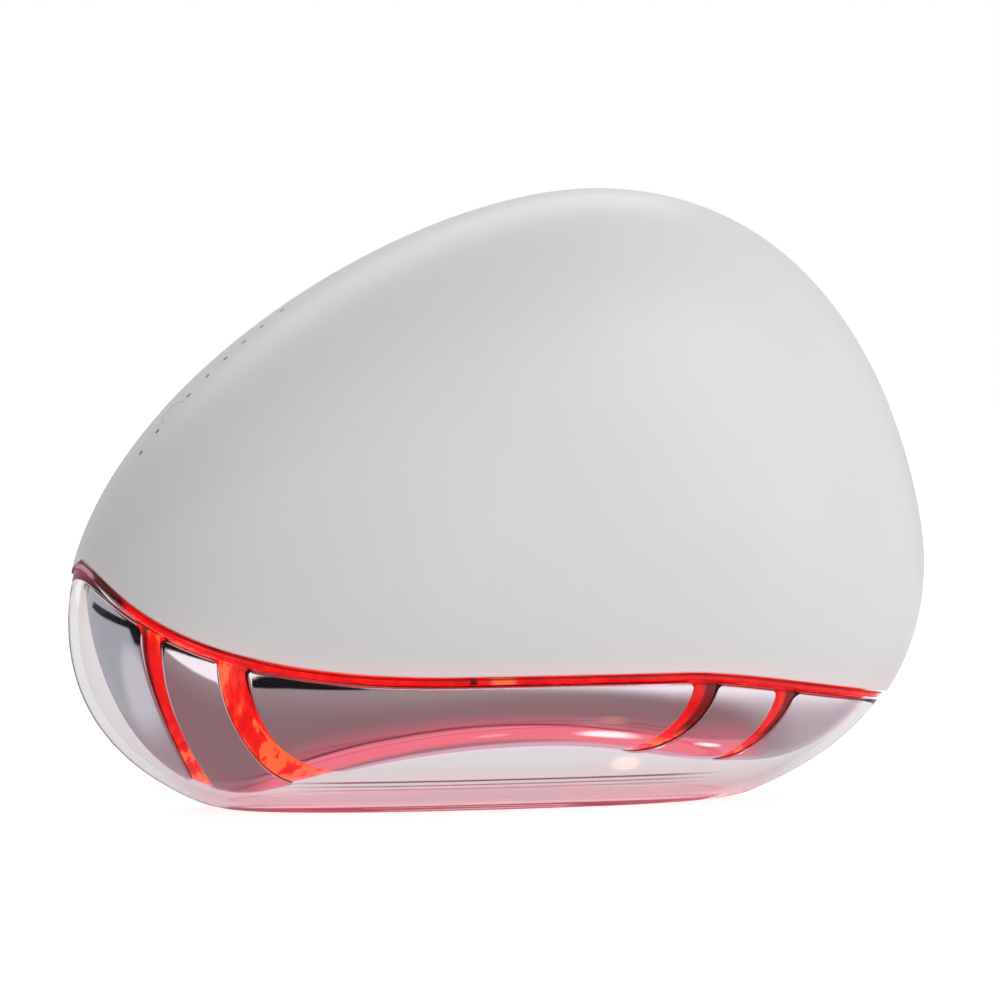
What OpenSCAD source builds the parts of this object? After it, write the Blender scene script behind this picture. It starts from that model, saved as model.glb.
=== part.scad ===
// Palm-held facial massager that stands in its clear cover.
// X runs along the pebble, -Y is the front face, +Z is up, and the cover's flat base is at z = 0.

/* [Body] */
// Length of the pebble from tip to tip
body_w = 102.5; // [102.5:0.5:105]
// Height from the table to the top of the pebble
body_h = 70.8; // [70.8:0.2:72]
// Thickness from front to back
body_t = 41; // [41:0.5:43]
// Wall of the two painted shells
shell_wall = 1.8; // [1.6:0.1:1.9]
// How far the parting plane lies behind the middle
parting_y = 6.8; // [6.6:0.1:6.9]

/* [Head] */
// How far the head's faces lie inside the pebble's faces
head_inset = 2.9; // [2.8:0.1:3.1]
// How far the head's two ends lie inside the pebble's outline
head_end_inset = 2.1; // [2:0.1:2.4]
// Height of the glowing line under the shells
glow_h = 1.1; // [0.9:0.1:1.4]
// Height of the glowing ring's outer face
ring_h = 0.7; // [0.5:0.05:0.75]
// Thickness of a chrome electrode plate
plate_t = 1.4; // [1.2:0.1:1.4]
// Rounding of the electrode plates' edges
plate_round = 1.1; // [0.8:0.1:1.2]
// Depth of the glowing grooves below the chrome
groove_d = 1.7; // [1.6:0.1:1.9]
// Wall of the translucent inner head
guide_wall = 1.2; // [1:0.1:1.3]

/* [Cover] */
// Wall of the clear cover
cover_wall = 1.2; // [1:0.1:1.3]
// Floor of the clear cover
cover_floor = 1; // [0.8:0.1:1]
// How far the cover lies inside the shells' surface
cover_inset = 0.3; // [0.2:0.05:0.35]
// Gap between the cover's rim and the shells, where the glowing ring shows
cover_gap = 1.1; // [1.05:0.05:1.2]

/* [Buttons and row of lights] */
// Diameter of the power button's opening
power_d = 5.6; // [5:0.1:5.8]
// Diameter of the mode button's opening
mode_d = 3.4; // [3:0.1:3.5]
// Radial clearance of a button in its opening
button_gap = 0.1; // [0.05:0.01:0.15]
// Travel of a button
button_travel = 0.4; // [0.3:0.05:0.45]
// Diameter of a light pipe
pip_d = 0.6; // [0.5:0.1:0.8]

/* [Charging port] */
// Width of the charging socket
socket_w = 8.94; // [8.9:0.01:9]
// Height of the charging socket
socket_h = 3.16; // [3.1:0.01:3.3]

/* [Motor] */
// Diameter of the motor can
motor_d = 7; // [6:0.5:7]
// Length of the motor can
motor_l = 15; // [12:1:16]
// Diameter of the motor shaft
shaft_d = 1; // [0.8:0.1:1.2]

/* [Hidden] */

$fn = 48;
eps = 0.01;
kx = body_w / 102.5;
kz = body_h / 70.8;
half_t = body_t / 2;
// Roundness of the pebble's section: 2 is an ellipse, more is a flatter face
section_power = 2.8;
centre = [0, 35.1 * kz];

pearl = [0.87, 0.86, 0.86];
chrome = [0.8, 0.8, 0.83];
glow_red = [0.95, 0.1, 0.08];
clear_pink = [0.96, 0.85, 0.86, 0.45];
black_seal = [0.12, 0.1, 0.11];
board_green = [0.1, 0.4, 0.25];

// One cubic curve from a to d, drawn towards b and c, without its last point
function bezier(a, b, c, d, n) = [for (i = [0:n - 1]) let (t = i / n, u = 1 - t)
    pow(u, 3) * a + 3 * u * u * t * b + 3 * u * t * t * c + pow(t, 3) * d];
function xz(x, z) = [x * kx, z * kz];

// Outline of the pebble through its four extreme points, anticlockwise from the left one
left_pt = xz(-51.25, 21.3);
low_pt = xz(-6, -4.3);
right_pt = xz(51.25, 27.2);
top_pt = xz(11.4, 70.8);
outline = concat(
    bezier(left_pt, left_pt - xz(0, 26), low_pt - xz(5.8, 0), low_pt, 16),
    bezier(low_pt, low_pt + xz(10.4, 0), right_pt - xz(0, 32.3), right_pt, 16),
    bezier(right_pt, right_pt + xz(0, 9), top_pt + xz(32, 0), top_pt, 24),
    bezier(top_pt, top_pt - xz(22.8, 0), left_pt + xz(0, 25), left_pt, 24));
function angle_of(p) = atan2(p[1] - centre[1], p[0] - centre[0]);
start_angle = angle_of(left_pt);
reach_table = concat(
    [for (p = outline) let (a = angle_of(p)) [a < start_angle - eps ? a + 360 : a, norm(p - centre)]],
    [[start_angle + 360, norm(left_pt - centre)]]);
// Distance from the centre to the outline in direction a
function reach(a) = lookup(a < start_angle ? a + 360 : a, reach_table);

// Half thickness of the pebble over (x, z), with its ends and its faces drawn in
function pebble_half(x, z, in_end, in_face) =
    let (q = norm([x, z] - centre) / (reach(angle_of([x, z])) - in_end))
    q >= 1 ? 0 : (half_t - in_face) * sqrt(1 - pow(q, section_power));
// Point on the pebble at outline angle a and depth y
function skin_pt(a, y, inset = 0) =
    let (q = pow(1 - pow(y / (half_t - inset), 2), 1 / section_power), r = (reach(a) - inset) * q)
    [centre[0] + r * cos(a), y, centre[1] + r * sin(a)];
function unit(v) = v / norm(v);

// Lower edge of the shells: steep at the left tip, level in the middle, falling to the right
edge_line = concat(
    bezier(xz(-51.5, 35.4), xz(-51.3, 22.3), xz(-38.2, 15.7), xz(-10, 15.7), 24),
    [xz(-10, 15.7)],
    bezier(xz(16, 15.7), xz(23.1, 15.7), xz(35, 13.4), xz(54, 11.1), 14), [xz(54, 11.1)]);
function edge_z(x) = lookup(x, edge_line);

// Height of a level curve: t = 0 is the lifted edge line, t = 1 is the flat height low
function level_z(x, t, lift, low) = (edge_z(x) + lift) * (1 - t) + low * t;
// Where such a level curve leaves the drawn-in pebble, by halving between in_x and out_x
function level_end(in_x, out_x, t, lift, low, inset, steps = 16) =
    let (x = (in_x + out_x) / 2, p = [x, level_z(x, t, lift, low)])
    steps == 0 ? x
    : norm(p - centre) + inset < reach(angle_of(p))
        ? level_end(x, out_x, t, lift, low, inset, steps - 1)
        : level_end(in_x, x, t, lift, low, inset, steps - 1);
loop_n = 26;
// Closed loop round the pebble on a level curve, with more points near its round ends
function level_loop(t, lift, low, inset) =
    let (x0 = level_end(0, -53 * kx, t, lift, low, inset),
         x1 = level_end(0, 53 * kx, t, lift, low, inset))
    [for (i = [0:2 * loop_n - 1]) let (a = 180 * i / loop_n,
        x = (x0 + x1) / 2 - (x1 - x0) / 2 * cos(a), z = level_z(x, t, lift, low),
        y = i % loop_n == 0 ? 0 : pebble_half(x, z, inset, inset)) [x, i < loop_n ? -y : y, z]];

function quad(a, b, c, d) = [[a, b, c], [a, c, d]];
function flat(l) = [for (a = l) each a];

// Skin through loops of equal count: ring = true joins last to first, else both ends are closed
module loop_skin(loops, ring) {
    m = len(loops);
    n = len(loops[0]);
    joins = ring ? m : m - 1;
    sides = flat([for (j = [0:joins - 1], i = [0:n - 1]) let (k = (i + 1) % n, l = (j + 1) % m)
        quad(j * n + i, j * n + k, l * n + k, l * n + i)]);
    ends = ring ? [] : [[for (i = [n - 1:-1:0]) i], [for (i = [0:n - 1]) (m - 1) * n + i]];
    polyhedron(flat(loops), concat(sides, ends), convexity = 8);
}

// Sheet with thickness between two grids of equal size, closed along its four edges
module thick_sheet(outer, inner) {
    rows = len(outer);
    cols = len(outer[0]);
    half = rows * cols;
    function id(j, i) = j * cols + i;
    faces = concat(
        flat([for (j = [0:rows - 2], i = [0:cols - 2])
            quad(id(j, i), id(j, i + 1), id(j + 1, i + 1), id(j + 1, i))]),
        flat([for (j = [0:rows - 2], i = [0:cols - 2]) quad(half + id(j + 1, i),
            half + id(j + 1, i + 1), half + id(j, i + 1), half + id(j, i))]),
        flat([for (i = [0:cols - 2]) quad(id(0, i + 1), id(0, i), half + id(0, i), half + id(0, i + 1))]),
        flat([for (i = [0:cols - 2], j = rows - 1)
            quad(id(j, i), id(j, i + 1), half + id(j, i + 1), half + id(j, i))]),
        flat([for (j = [0:rows - 2]) quad(id(j, 0), id(j + 1, 0), half + id(j + 1, 0), half + id(j, 0))]),
        flat([for (j = [0:rows - 2], i = cols - 1)
            quad(id(j + 1, i), id(j, i), half + id(j, i), half + id(j + 1, i))]));
    polyhedron(concat(flat(outer), flat(inner)), faces, convexity = 8);
}

// Whole pebble drawn in by inset, with n points round and m rings front to back
module pebble(inset, n, m) {
    rings = [for (j = [1:m - 1]) let (a = 180 * j / m, q = pow(sin(a), 2 / section_power))
        [for (i = [0:n - 1]) let (b = 360 * i / n, r = (reach(b > 180 ? b - 360 : b) - inset) * q)
            [centre[0] + r * cos(b), -(half_t - inset) * cos(a), centre[1] + r * sin(b)]]];
    last = n * (m - 1) + 1;
    faces = concat(
        [for (i = [0:n - 1]) [0, 1 + (i + 1) % n, 1 + i]],
        flat([for (j = [0:m - 3], i = [0:n - 1]) let (k = (i + 1) % n)
            quad(1 + j * n + i, 1 + j * n + k, 1 + (j + 1) * n + k, 1 + (j + 1) * n + i)]),
        [for (i = [0:n - 1]) [last, 1 + (m - 2) * n + i, 1 + (m - 2) * n + (i + 1) % n]]);
    polyhedron(concat([[centre[0], inset - half_t, centre[1]]], flat(rings),
        [[centre[0], half_t - inset, centre[1]]]), faces, convexity = 4);
}

// Space above the shells' lower edge, right through the pebble
module above_edge() {
    rotate([90, 0, 0])
        linear_extrude(body_t + 20, center = true)
            polygon(concat(edge_line, [[60, 90], [-60, 90]]));
}

// Working head: a blade between the edge line and its own lower rim
head_l = level_end(0, -53 * kx, 0, 0, 0, head_end_inset);
head_r = level_end(0, 53 * kx, 0, 0, 0, head_end_inset);
tip_drop = 0.6;
heel_pt = xz(-30.7, 2);
arch_pt = xz(3.3, 6.3);
chin_pt = xz(29.2, 4.2);
tip_l = [head_l, edge_z(head_l) - tip_drop];
tip_r = [head_r, edge_z(head_r) - tip_drop];
rim_line = concat(
    bezier(tip_l, tip_l - xz(-0.1, 8), heel_pt - xz(13.5, 0), heel_pt, 24),
    bezier(heel_pt, heel_pt + xz(4, 0), arch_pt - xz(19.2, 0), arch_pt, 12),
    bezier(arch_pt, arch_pt + xz(11, 0), chin_pt - xz(11.1, 0), chin_pt, 10),
    bezier(chin_pt, chin_pt + xz(5.6, 0), tip_r - xz(5, 5.3), tip_r, 14), [tip_r]);
function rim_z(x) = lookup(x, rim_line);
function head_half(x) = pebble_half(x, edge_z(x), head_end_inset, head_inset);
// Roundness of the head's section, rounder towards both ends
head_powers = [2.05, 2.4, 1.8];
function head_power(x) = head_powers[1] + (head_powers[0] - head_powers[1]) * min(1, max(0, -x / 15 - 1))
    + (head_powers[2] - head_powers[1]) * min(1, max(0, x / 15 - 1));
// Point on the head at x, share s from edge line to rim, front (-1) or back (1), d below the surface
function head_pt(x, s, side, d) =
    let (h = max(head_half(x), 0.4), e = edge_z(x), b = rim_z(x),
         deep = d * min(1, 0.75 * (e - b) / (groove_d + guide_wall)),
         slope = (rim_z(x + 0.3) - rim_z(x - 0.3)) / 0.6, out = unit([slope, -1]),
         y = h * sqrt(max(0, 1 - pow(min(s, 1), head_power(x)))) * max(0.15, 1 - d / h))
    [x - out[0] * deep * s, side * y, e - s * (e - b) - out[1] * deep * s];

// Four grooves: where they start under the edge, where they end on the rim, and how they bend
groove_top = [-43.8, -35.6, 19.5, 30.1] * kx;
groove_foot = [-35.9, -22, 13.3, 24.4] * kx;
groove_bend = [3.4, 2.7, 2, 1.9];
groove_half_top = [0.9, 1.45, 1.45, 1.35];
groove_half_foot = [1.35, 3.4, 1.2, 0.8];
groove_flare = [2, 5, 1, 1.7];
function groove_mid(k, s) = groove_top[k] + (groove_foot[k] - groove_top[k]) * pow(s, groove_bend[k]);
function groove_half(k, s) = groove_half_top[k]
    + (groove_half_foot[k] - groove_half_top[k]) * pow(s, groove_flare[k]);
plate_end_gap = [0.4, 0.9];
function plate_left(k, s) = k == 0 ? head_l + plate_end_gap[0] : groove_mid(k - 1, s) + groove_half(k - 1, s);
function plate_right(k, s) = k == 4 ? head_r - plate_end_gap[1] : groove_mid(k, s) - groove_half(k, s);

// Share of the head's height that lies drop below the edge line, levelling off where the head is low
share_line = 0.25;
share_rest = 0.35;
function share(x, drop) =
    let (t = drop / max(0.5, edge_z(x) - rim_z(x)))
    t < share_line ? t : share_line + share_rest * (1 - exp((share_line - t) / share_rest));
// How far a rounded edge drops at distance d from it
function round_drop(d) = d >= plate_round ? 0
    : plate_round - sqrt(pow(plate_round, 2) - pow(plate_round - d, 2));
// Turns a square corner of size plate_round into a round one
function round_corner(p, q) =
    let (u = plate_round - p, v = plate_round - q, l = norm([u, v]))
    (u <= 0 || v <= 0 || l == 0) ? [p, q]
    : [plate_round - u * max(u, v) / l, plate_round - v * max(u, v) / l];

plate_top_gap = 0.15;
edge_steps = [0, 0.3, 1] * plate_round;
fall_steps = [0.25, 0.48, 0.68, 0.84, 0.95];
// Rows of a plate from its front top edge round the rim to its back top edge: [inset, fall, side]
plate_rows = concat(
    [for (q = edge_steps) [q, 0, -1]], [for (f = fall_steps) [plate_round, f, -1]],
    [[plate_round, 1, -1]],
    [for (i = [4:-1:0]) [plate_round, fall_steps[i], 1]], [for (i = [2:-1:0]) [edge_steps[i], 0, 1]]);
// Columns of a plate from its left edge to its right edge: [inset, share across]
function plate_cols(n) = concat([for (p = edge_steps) [p, 0]], [for (i = [1:n - 1]) [plate_round, i / n]],
    [for (i = [2:-1:0]) [edge_steps[i], 1]]);
function plate_pt(k, col, row, d) =
    let (border = col[1] == 0 || col[1] == 1,
         pq = border && row[1] == 0 ? round_corner(col[0], row[0]) : [col[0], row[0]],
         depth = max(d, round_drop(min(border ? col[0] : plate_round, row[1] == 0 ? row[0] : plate_round))),
         drop = glow_h + plate_top_gap + pq[1],
         s0 = share((plate_left(k, 0.1) + plate_right(k, 0.1)) / 2, drop),
         s1 = s0 + (1 - s0) * row[1],
         l = plate_left(k, s1) + pq[0], r = plate_right(k, s1) - pq[0],
         x = col[1] == 0 ? l : col[1] == 1 ? r : l + (r - l) * col[1],
         s2 = share(x, drop))
    head_pt(x, s2 + (1 - s2) * row[1], row[2], depth);
module electrode(k, cols) {
    color(chrome)
        thick_sheet([for (row = plate_rows) [for (col = plate_cols(cols)) plate_pt(k, col, row, 0)]],
            [for (row = plate_rows) [for (col = plate_cols(cols)) plate_pt(k, col, row, plate_t)]]);
}
module left_end_electrode() electrode(0, 4);
module left_electrode() electrode(1, 4);
module centre_electrode() electrode(2, 10);
module right_electrode() electrode(3, 4);
module right_end_electrode() electrode(4, 6);

// Translucent inner head: a proud glowing line along its top, then the floor of the grooves
guide_steps = [[0, 0, 0], [glow_h, 0, 0], [glow_h, 0, groove_d], [glow_h, 0.3, groove_d],
    [glow_h, 0.55, groove_d], [glow_h, 0.76, groove_d], [glow_h, 0.92, groove_d]];
guide_rows = concat([for (g = guide_steps) concat(g, [-1])], [[glow_h, 1, groove_d, -1]],
    [for (i = [6:-1:0]) concat(guide_steps[i], [1])]);
function guide_pt(i, row, d) =
    let (x = (head_l + head_r) / 2 - (head_r - head_l - 0.3) / 2 * cos(180 * i / loop_n), s = share(x, row[0]))
    head_pt(x, s + (1 - s) * row[1], row[3], d);
pin_x = [-41, -31, 0, 20.5, 34];
pin_d = 1.6;
board_z = 17.5;
module light_guide() {
    color(glow_red)
        difference() {
            thick_sheet([for (row = guide_rows) [for (i = [0:loop_n]) guide_pt(i, row, row[2])]],
                [for (row = guide_rows) [for (i = [0:loop_n]) guide_pt(i, row, groove_d + guide_wall)]]);
            for (x = pin_x)
                translate([x, 0, 0]) cylinder(h = board_z - 4, d = pin_d + 0.2);
        }
}

// Four-loop ring that follows the edge line, between two insets and two lifts
module edge_ring(inset_out, inset_in, lift_low, lift_high) {
    loop_skin([level_loop(0, lift_high, 0, inset_out), level_loop(0, lift_low, 0, inset_out),
        level_loop(0, lift_low, 0, inset_in), level_loop(0, lift_high, 0, inset_in)], true);
}
module head_gasket() color(black_seal) edge_ring(shell_wall + 0.45, head_inset + 0.1, 0.1, 1.6);
module head_ring() color([0.35, 0.35, 0.37]) edge_ring(head_inset + 0.2, head_inset + 1.5, 0.12, 4.5);
// Glowing ring under the shells' lower edge: its two insets and its distance from the shells
ring_inset = [0.35, 1.7];
ring_drop = 0.15;
module light_ring() {
    color(glow_red) edge_ring(ring_inset[0], ring_inset[1], -ring_drop - ring_h, -ring_drop);
}

// Clear cover: inner floor, inner wall upwards, rim, outer wall down to the flat base
cover_levels = 6;
module clear_cover() {
    inner = cover_inset + cover_wall;
    color(clear_pink)
        loop_skin(concat(
            [for (j = [cover_levels:-1:0]) level_loop(j / cover_levels, -cover_gap, cover_floor, inner)],
            [for (j = [0:cover_levels]) level_loop(j / cover_levels, -cover_gap, 0, cover_inset)]), false);
}

// Frame on the rim at outline angle a and depth y: x along the rim, y across it, z outwards
module on_rim(a, y) {
    p = skin_pt(a, y);
    along = unit(skin_pt(a - 1, y) - skin_pt(a + 1, y));
    out = unit(cross(along, skin_pt(a, y + 0.5) - skin_pt(a, y - 0.5)));
    across = cross(out, along);
    multmatrix([for (i = [0:2]) [along[i], across[i], out[i], p[i]]]) children();
}

// Row of lights and buttons on the upper left rim, drifting from the front towards the middle
row_start = 172.7;
function row_y(a) = -2.95 + 3.8 * pow(max(0, row_start - a) / 44.7, 2.2);
pip_angles = [172.7, 169.15, 162.5, 158.4, 154.4, 150.2, 146, 141.1, 128];
power_a = 134.6;
mode_a = 165.8;
port_a = 1.5;
flange_extra = 1.8;
flange_top = -2.7;
flange_t = 0.7;
stem_end = -4;
switch_top = stem_end - button_travel - 0.1;
board_top = switch_top - 1.8;
post_y = -5.5;

module button(d) {
    crown = 0.14;
    r = d / 2 - button_gap;
    color(pearl)
        rotate_extrude()
            polygon([[0, stem_end], [0.9, stem_end], [0.9, flange_top - flange_t],
                [r + flange_extra / 2, flange_top - flange_t], [r + flange_extra / 2, flange_top],
                [r, flange_top], [r, -crown - 0.2], [r - 0.15, -crown - 0.05],
                for (i = [3:-1:0]) [(r - 0.3) * i / 3, -0.03 - crown * pow(i / 3, 2)]]);
}
module power_button() on_rim(power_a, row_y(power_a)) button(power_d);
module mode_button() on_rim(mode_a, row_y(mode_a)) button(mode_d);
module indicator_pips() {
    color([0.25, 0.2, 0.2])
        for (a = pip_angles)
            on_rim(a, row_y(a)) translate([0, 0, -2.2]) cylinder(h = 2.15, d = pip_d);
}

// Tact switch with a round plunger, standing on board_top
module tact_switch() {
    color([0.15, 0.15, 0.16]) translate([-1.5, -1.5, board_top]) cube([3, 3, 1.4]);
    color([0.8, 0.75, 0.6]) translate([0, 0, board_top + 1.4]) cylinder(h = 0.4, d = 1.6);
}
module power_switch() on_rim(power_a, row_y(power_a)) tact_switch();
module mode_switch() on_rim(mode_a, row_y(mode_a)) tact_switch();
module button_boards() {
    color(board_green)
        for (a = [power_a, mode_a])
            on_rim(a, row_y(a)) translate([-2.6, post_y - 1.2, board_top - 0.8]) cube([5.2, 9.2, 0.8]);
}

// Inner bosses that carry the chassis: [x, z]
boss_pts = [[-26.1, 32.2], [-10, 55.1], [30, 51.1], [33, 28.1]];
boss_d = 5.2;
chassis_y = -1;
chassis_t = 1.4;
screw_d = 1.9;
module along_y(x, y0, z, len, d, facets = 48) {
    translate([x, y0, z]) rotate([-90, 0, 0]) cylinder(h = len, d = d, $fn = facets);
}
clip_angles = [-18, 18, 34, 50, 66, 82, 100, 178];
clip_w = 5;
// The rear shell's hooks reach forward to hook_tip behind ridges of the front shell
hook_low = -shell_wall - 2.4;
hook_tip = -3;
// Block in the rim's frame, from z0 to z1 outwards and y0 to y1 in depth
module clip_block(z0, z1, y0, y1) {
    translate([-clip_w / 2, y0, z0]) cube([clip_w, y1 - y0, z1 - z0]);
}
module port_slot(w, h, z0, z1) {
    hull()
        for (side = [-1, 1])
            translate([0, side * (w - h) / 2, z0]) cylinder(h = z1 - z0, d = h, $fn = 32);
}

module shell_half(sign) {
    intersection() {
        above_edge();
        translate([-80, sign < 0 ? -40 + parting_y : parting_y, 0]) cube([160, 40, 100]);
        difference() {
            pebble(0, 64, 16);
            pebble(shell_wall, 52, 14);
        }
    }
}
module front_shell() {
    color(pearl)
        difference() {
            union() {
                shell_half(-1);
                intersection() {
                    pebble(shell_wall / 2, 40, 12);
                    union() {
                        for (p = boss_pts)
                            along_y(p[0], -half_t, p[1], half_t + chassis_y, boss_d, 24);
                        for (a = clip_angles)
                            on_rim(a, 0) hull() {
                                clip_block(hook_low, -shell_wall, hook_tip - 2.4, hook_tip - 1.6);
                                clip_block(-shell_wall - 0.8, 0, hook_tip - 4, hook_tip - 1.4);
                            }
                        for (a = [power_a, mode_a])
                            on_rim(a, row_y(a)) translate([0, post_y, board_top])
                                cylinder(h = 6, d = 2, $fn = 16);
                        on_rim(port_a, 0) translate([-socket_h / 2 - 0.8, -9, -9]) cube([0.8, 3.9, 4]);
                    }
                }
            }
            for (p = boss_pts)
                along_y(p[0], chassis_y - 8, p[1], 9, screw_d + 0.1, 24);
            on_rim(power_a, row_y(power_a)) translate([0, 0, flange_top + 0.5]) cylinder(h = 5, d = power_d);
            on_rim(mode_a, row_y(mode_a)) translate([0, 0, flange_top + 0.5]) cylinder(h = 5, d = mode_d);
            for (a = pip_angles)
                on_rim(a, row_y(a)) translate([0, 0, -2.6]) cylinder(h = 5, d = pip_d + 0.06, $fn = 16);
            on_rim(port_a, 0) port_slot(socket_w + 0.6, socket_h + 0.6, -4, 3);
        }
}
press_post = [[-8, 38.1], [14, 38.1]];
battery_y = chassis_y + chassis_t + 0.1;
battery_size = [42, 8, 20];
battery_pos = [-17, battery_y, 28.1];
pad_t = 1.5;
module rear_shell() {
    color([0.84, 0.83, 0.83])
        difference() {
            union() {
                shell_half(1);
                intersection() {
                    pebble(shell_wall / 2, 40, 12);
                    union() {
                        for (p = press_post)
                            along_y(p[0], battery_y + battery_size[1] + pad_t + 0.05, p[1], 12, 8, 32);
                        for (a = clip_angles)
                            on_rim(a, 0) hull() {
                                clip_block(hook_low, hook_low + 1.1, hook_tip, hook_tip + 1);
                                clip_block(hook_low - 3, hook_low - 1.1, parting_y + 0.4, parting_y + 3.6);
                            }
                    }
                }
            }
            on_rim(port_a, 0) port_slot(socket_w + 0.6, socket_h + 0.6, -4, 3);
        }
}

module charge_socket() {
    color([0.75, 0.75, 0.77])
        on_rim(port_a, 0) {
            difference() {
                port_slot(socket_w, socket_h, -8, -1.1);
                port_slot(socket_w - 0.6, socket_h - 0.6, -7.4, 0);
            }
            translate([-0.35, -3.3, -7.5]) cube([0.7, 6.6, 5.2]);
        }
}
module charge_board() {
    color(board_green)
        on_rim(port_a, 0) translate([-socket_h / 2 - 0.8, -5, -11]) cube([0.8, 10, 6.5]);
}

// Chassis: screwed plate with a battery tray behind, board posts and a motor cradle in front
tray_wall = 1.2;
motor_y = -8;
motor_z = 23.6;
motor_x = -12;
post_pts = [[-18, 31.6], [-18, 45.6], [23, 31.6], [23, 45.6]];
module motor_along_x(x0, len, d) {
    translate([x0, motor_y, motor_z]) rotate([0, 90, 0]) cylinder(h = len, d = d);
}
module chassis() {
    color([0.3, 0.3, 0.32])
        difference() {
            union() {
                translate([0, chassis_y, 0]) rotate([-90, 0, 0])
                    linear_extrude(chassis_t) hull()
                        for (p = boss_pts) translate([p[0], -p[1]]) circle(d = boss_d + 1.2, $fn = 32);
                translate([battery_pos[0] - tray_wall, chassis_y, battery_pos[2] - tray_wall])
                    cube([battery_size[0] + 2 * tray_wall, 6, battery_size[2] + 2 * tray_wall]);
                for (p = post_pts) along_y(p[0], chassis_y - 3, p[1], 3.2, 4);
                for (x = [-20, 18])
                    translate([x - 3, chassis_y, board_z + 1]) cube([6, chassis_t, 12]);
                translate([motor_x + 2, motor_y + 1.5, motor_z - 4.5])
                    cube([motor_l - 4, chassis_y - motor_y - 1, 9]);
            }
            translate([battery_pos[0] - 0.2, battery_y - 0.1, battery_pos[2] - 0.2])
                cube([battery_size[0] + 0.4, 20, battery_size[2] + 0.4]);
            for (p = boss_pts) along_y(p[0], chassis_y - 1, p[1], 4, screw_d + 0.2);
            motor_along_x(motor_x - 1, motor_l + 2, motor_d + 0.05);
        }
}
module chassis_screws() {
    color([0.6, 0.6, 0.62])
        for (p = boss_pts) {
            along_y(p[0], chassis_y - 6, p[1], 6 + chassis_t + 0.5, screw_d);
            difference() {
                along_y(p[0], chassis_y + chassis_t, p[1], 1.3, 3.6);
                translate([p[0] - 1.2, chassis_y + chassis_t + 0.8, p[1] - 0.25]) cube([2.4, 1, 0.5]);
            }
        }
}
module main_board() {
    top = chassis_y - 3;
    color(board_green) translate([-21, top - 1.2, 29.1]) cube([47, 1.2, 19.4]);
    color([0.1, 0.1, 0.1]) {
        translate([-18, top - 7.2, 34.1]) cube([11, 6.1, 10]);
        translate([-2, top - 2.2, 35.1]) cube([7, 1.1, 7]);
        translate([12, top - 3.2, 37.1]) cube([6, 2.1, 6]);
    }
}
module battery() color([0.55, 0.6, 0.68]) translate(battery_pos) cube(battery_size);
module battery_pad() {
    color([0.2, 0.2, 0.2])
        translate([battery_pos[0] + 2, battery_pos[1] + battery_size[1], battery_pos[2] + 2])
            cube([battery_size[0] - 4, pad_t, battery_size[2] - 4]);
}
led_x = [-36.5, -25, -17, -9, 7, 13.5, 27.5];
module led_board() {
    color([0.9, 0.9, 0.88])
        translate([0, 0, board_z]) linear_extrude(1)
            polygon([[-44, -2.5], [-38, -6], [-30, -8.5], [28, -8.5], [36, -5],
                [36, 5], [28, 8.5], [-30, 8.5], [-38, 6], [-44, 2.5]]);
}
module red_leds() {
    color([0.9, 0.3, 0.25])
        for (x = led_x) translate([x - 1.4, -1.4, board_z - 1.2]) cube([2.8, 2.8, 1.2]);
}
module contact_pins() {
    color([0.85, 0.7, 0.35])
        for (x = pin_x)
            let (slope = abs(rim_z(x + 1) - rim_z(x - 1)) / 2,
                 low = rim_z(x) + plate_t * norm([1, slope]) + pin_d / 2 * slope + 0.3)
            translate([x, 0, low]) cylinder(h = board_z - low, d = pin_d);
}

module vibration_motor() {
    color([0.7, 0.7, 0.72])
        difference() {
            motor_along_x(motor_x, motor_l, motor_d);
            motor_along_x(motor_x - 1, motor_l - 1, shaft_d + 0.1);
        }
}
module motor_shaft() color([0.8, 0.8, 0.82]) motor_along_x(motor_x - 5.5, motor_l + 3, shaft_d);
module motor_weight() {
    color([0.5, 0.48, 0.42])
        difference() {
            motor_along_x(motor_x - 5, 4, 5.6);
            motor_along_x(motor_x - 6, 6, shaft_d);
            translate([motor_x - 6, motor_y - 4, motor_z + 0.7]) cube([6, 8, 4]);
        }
}

front_shell();
rear_shell();
head_gasket();
head_ring();
light_ring();
light_guide();
left_end_electrode();
left_electrode();
centre_electrode();
right_electrode();
right_end_electrode();
clear_cover();
power_button();
mode_button();
indicator_pips();
power_switch();
mode_switch();
button_boards();
charge_socket();
charge_board();
chassis();
chassis_screws();
main_board();
battery();
battery_pad();
led_board();
red_leds();
contact_pins();
vibration_motor();
motor_shaft();
motor_weight();
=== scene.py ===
# %% [markdown]
# # A palm-held EMS massager standing in its clear cover
#
# The real object is a pebble-shaped housing in pearl paint. Under its lower edge a thin line
# glows red, and below that five mirror-bright plates wrap round a blade-like head, parted by
# glowing grooves. A clear cover carries the pebble's outline down to a flat base.
#
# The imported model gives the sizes, the bodies and the joints. This script repeats the same
# formulas at a much finer step and adds the finishes, so every piece lands where the model has it.

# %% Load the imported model
import math

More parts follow.
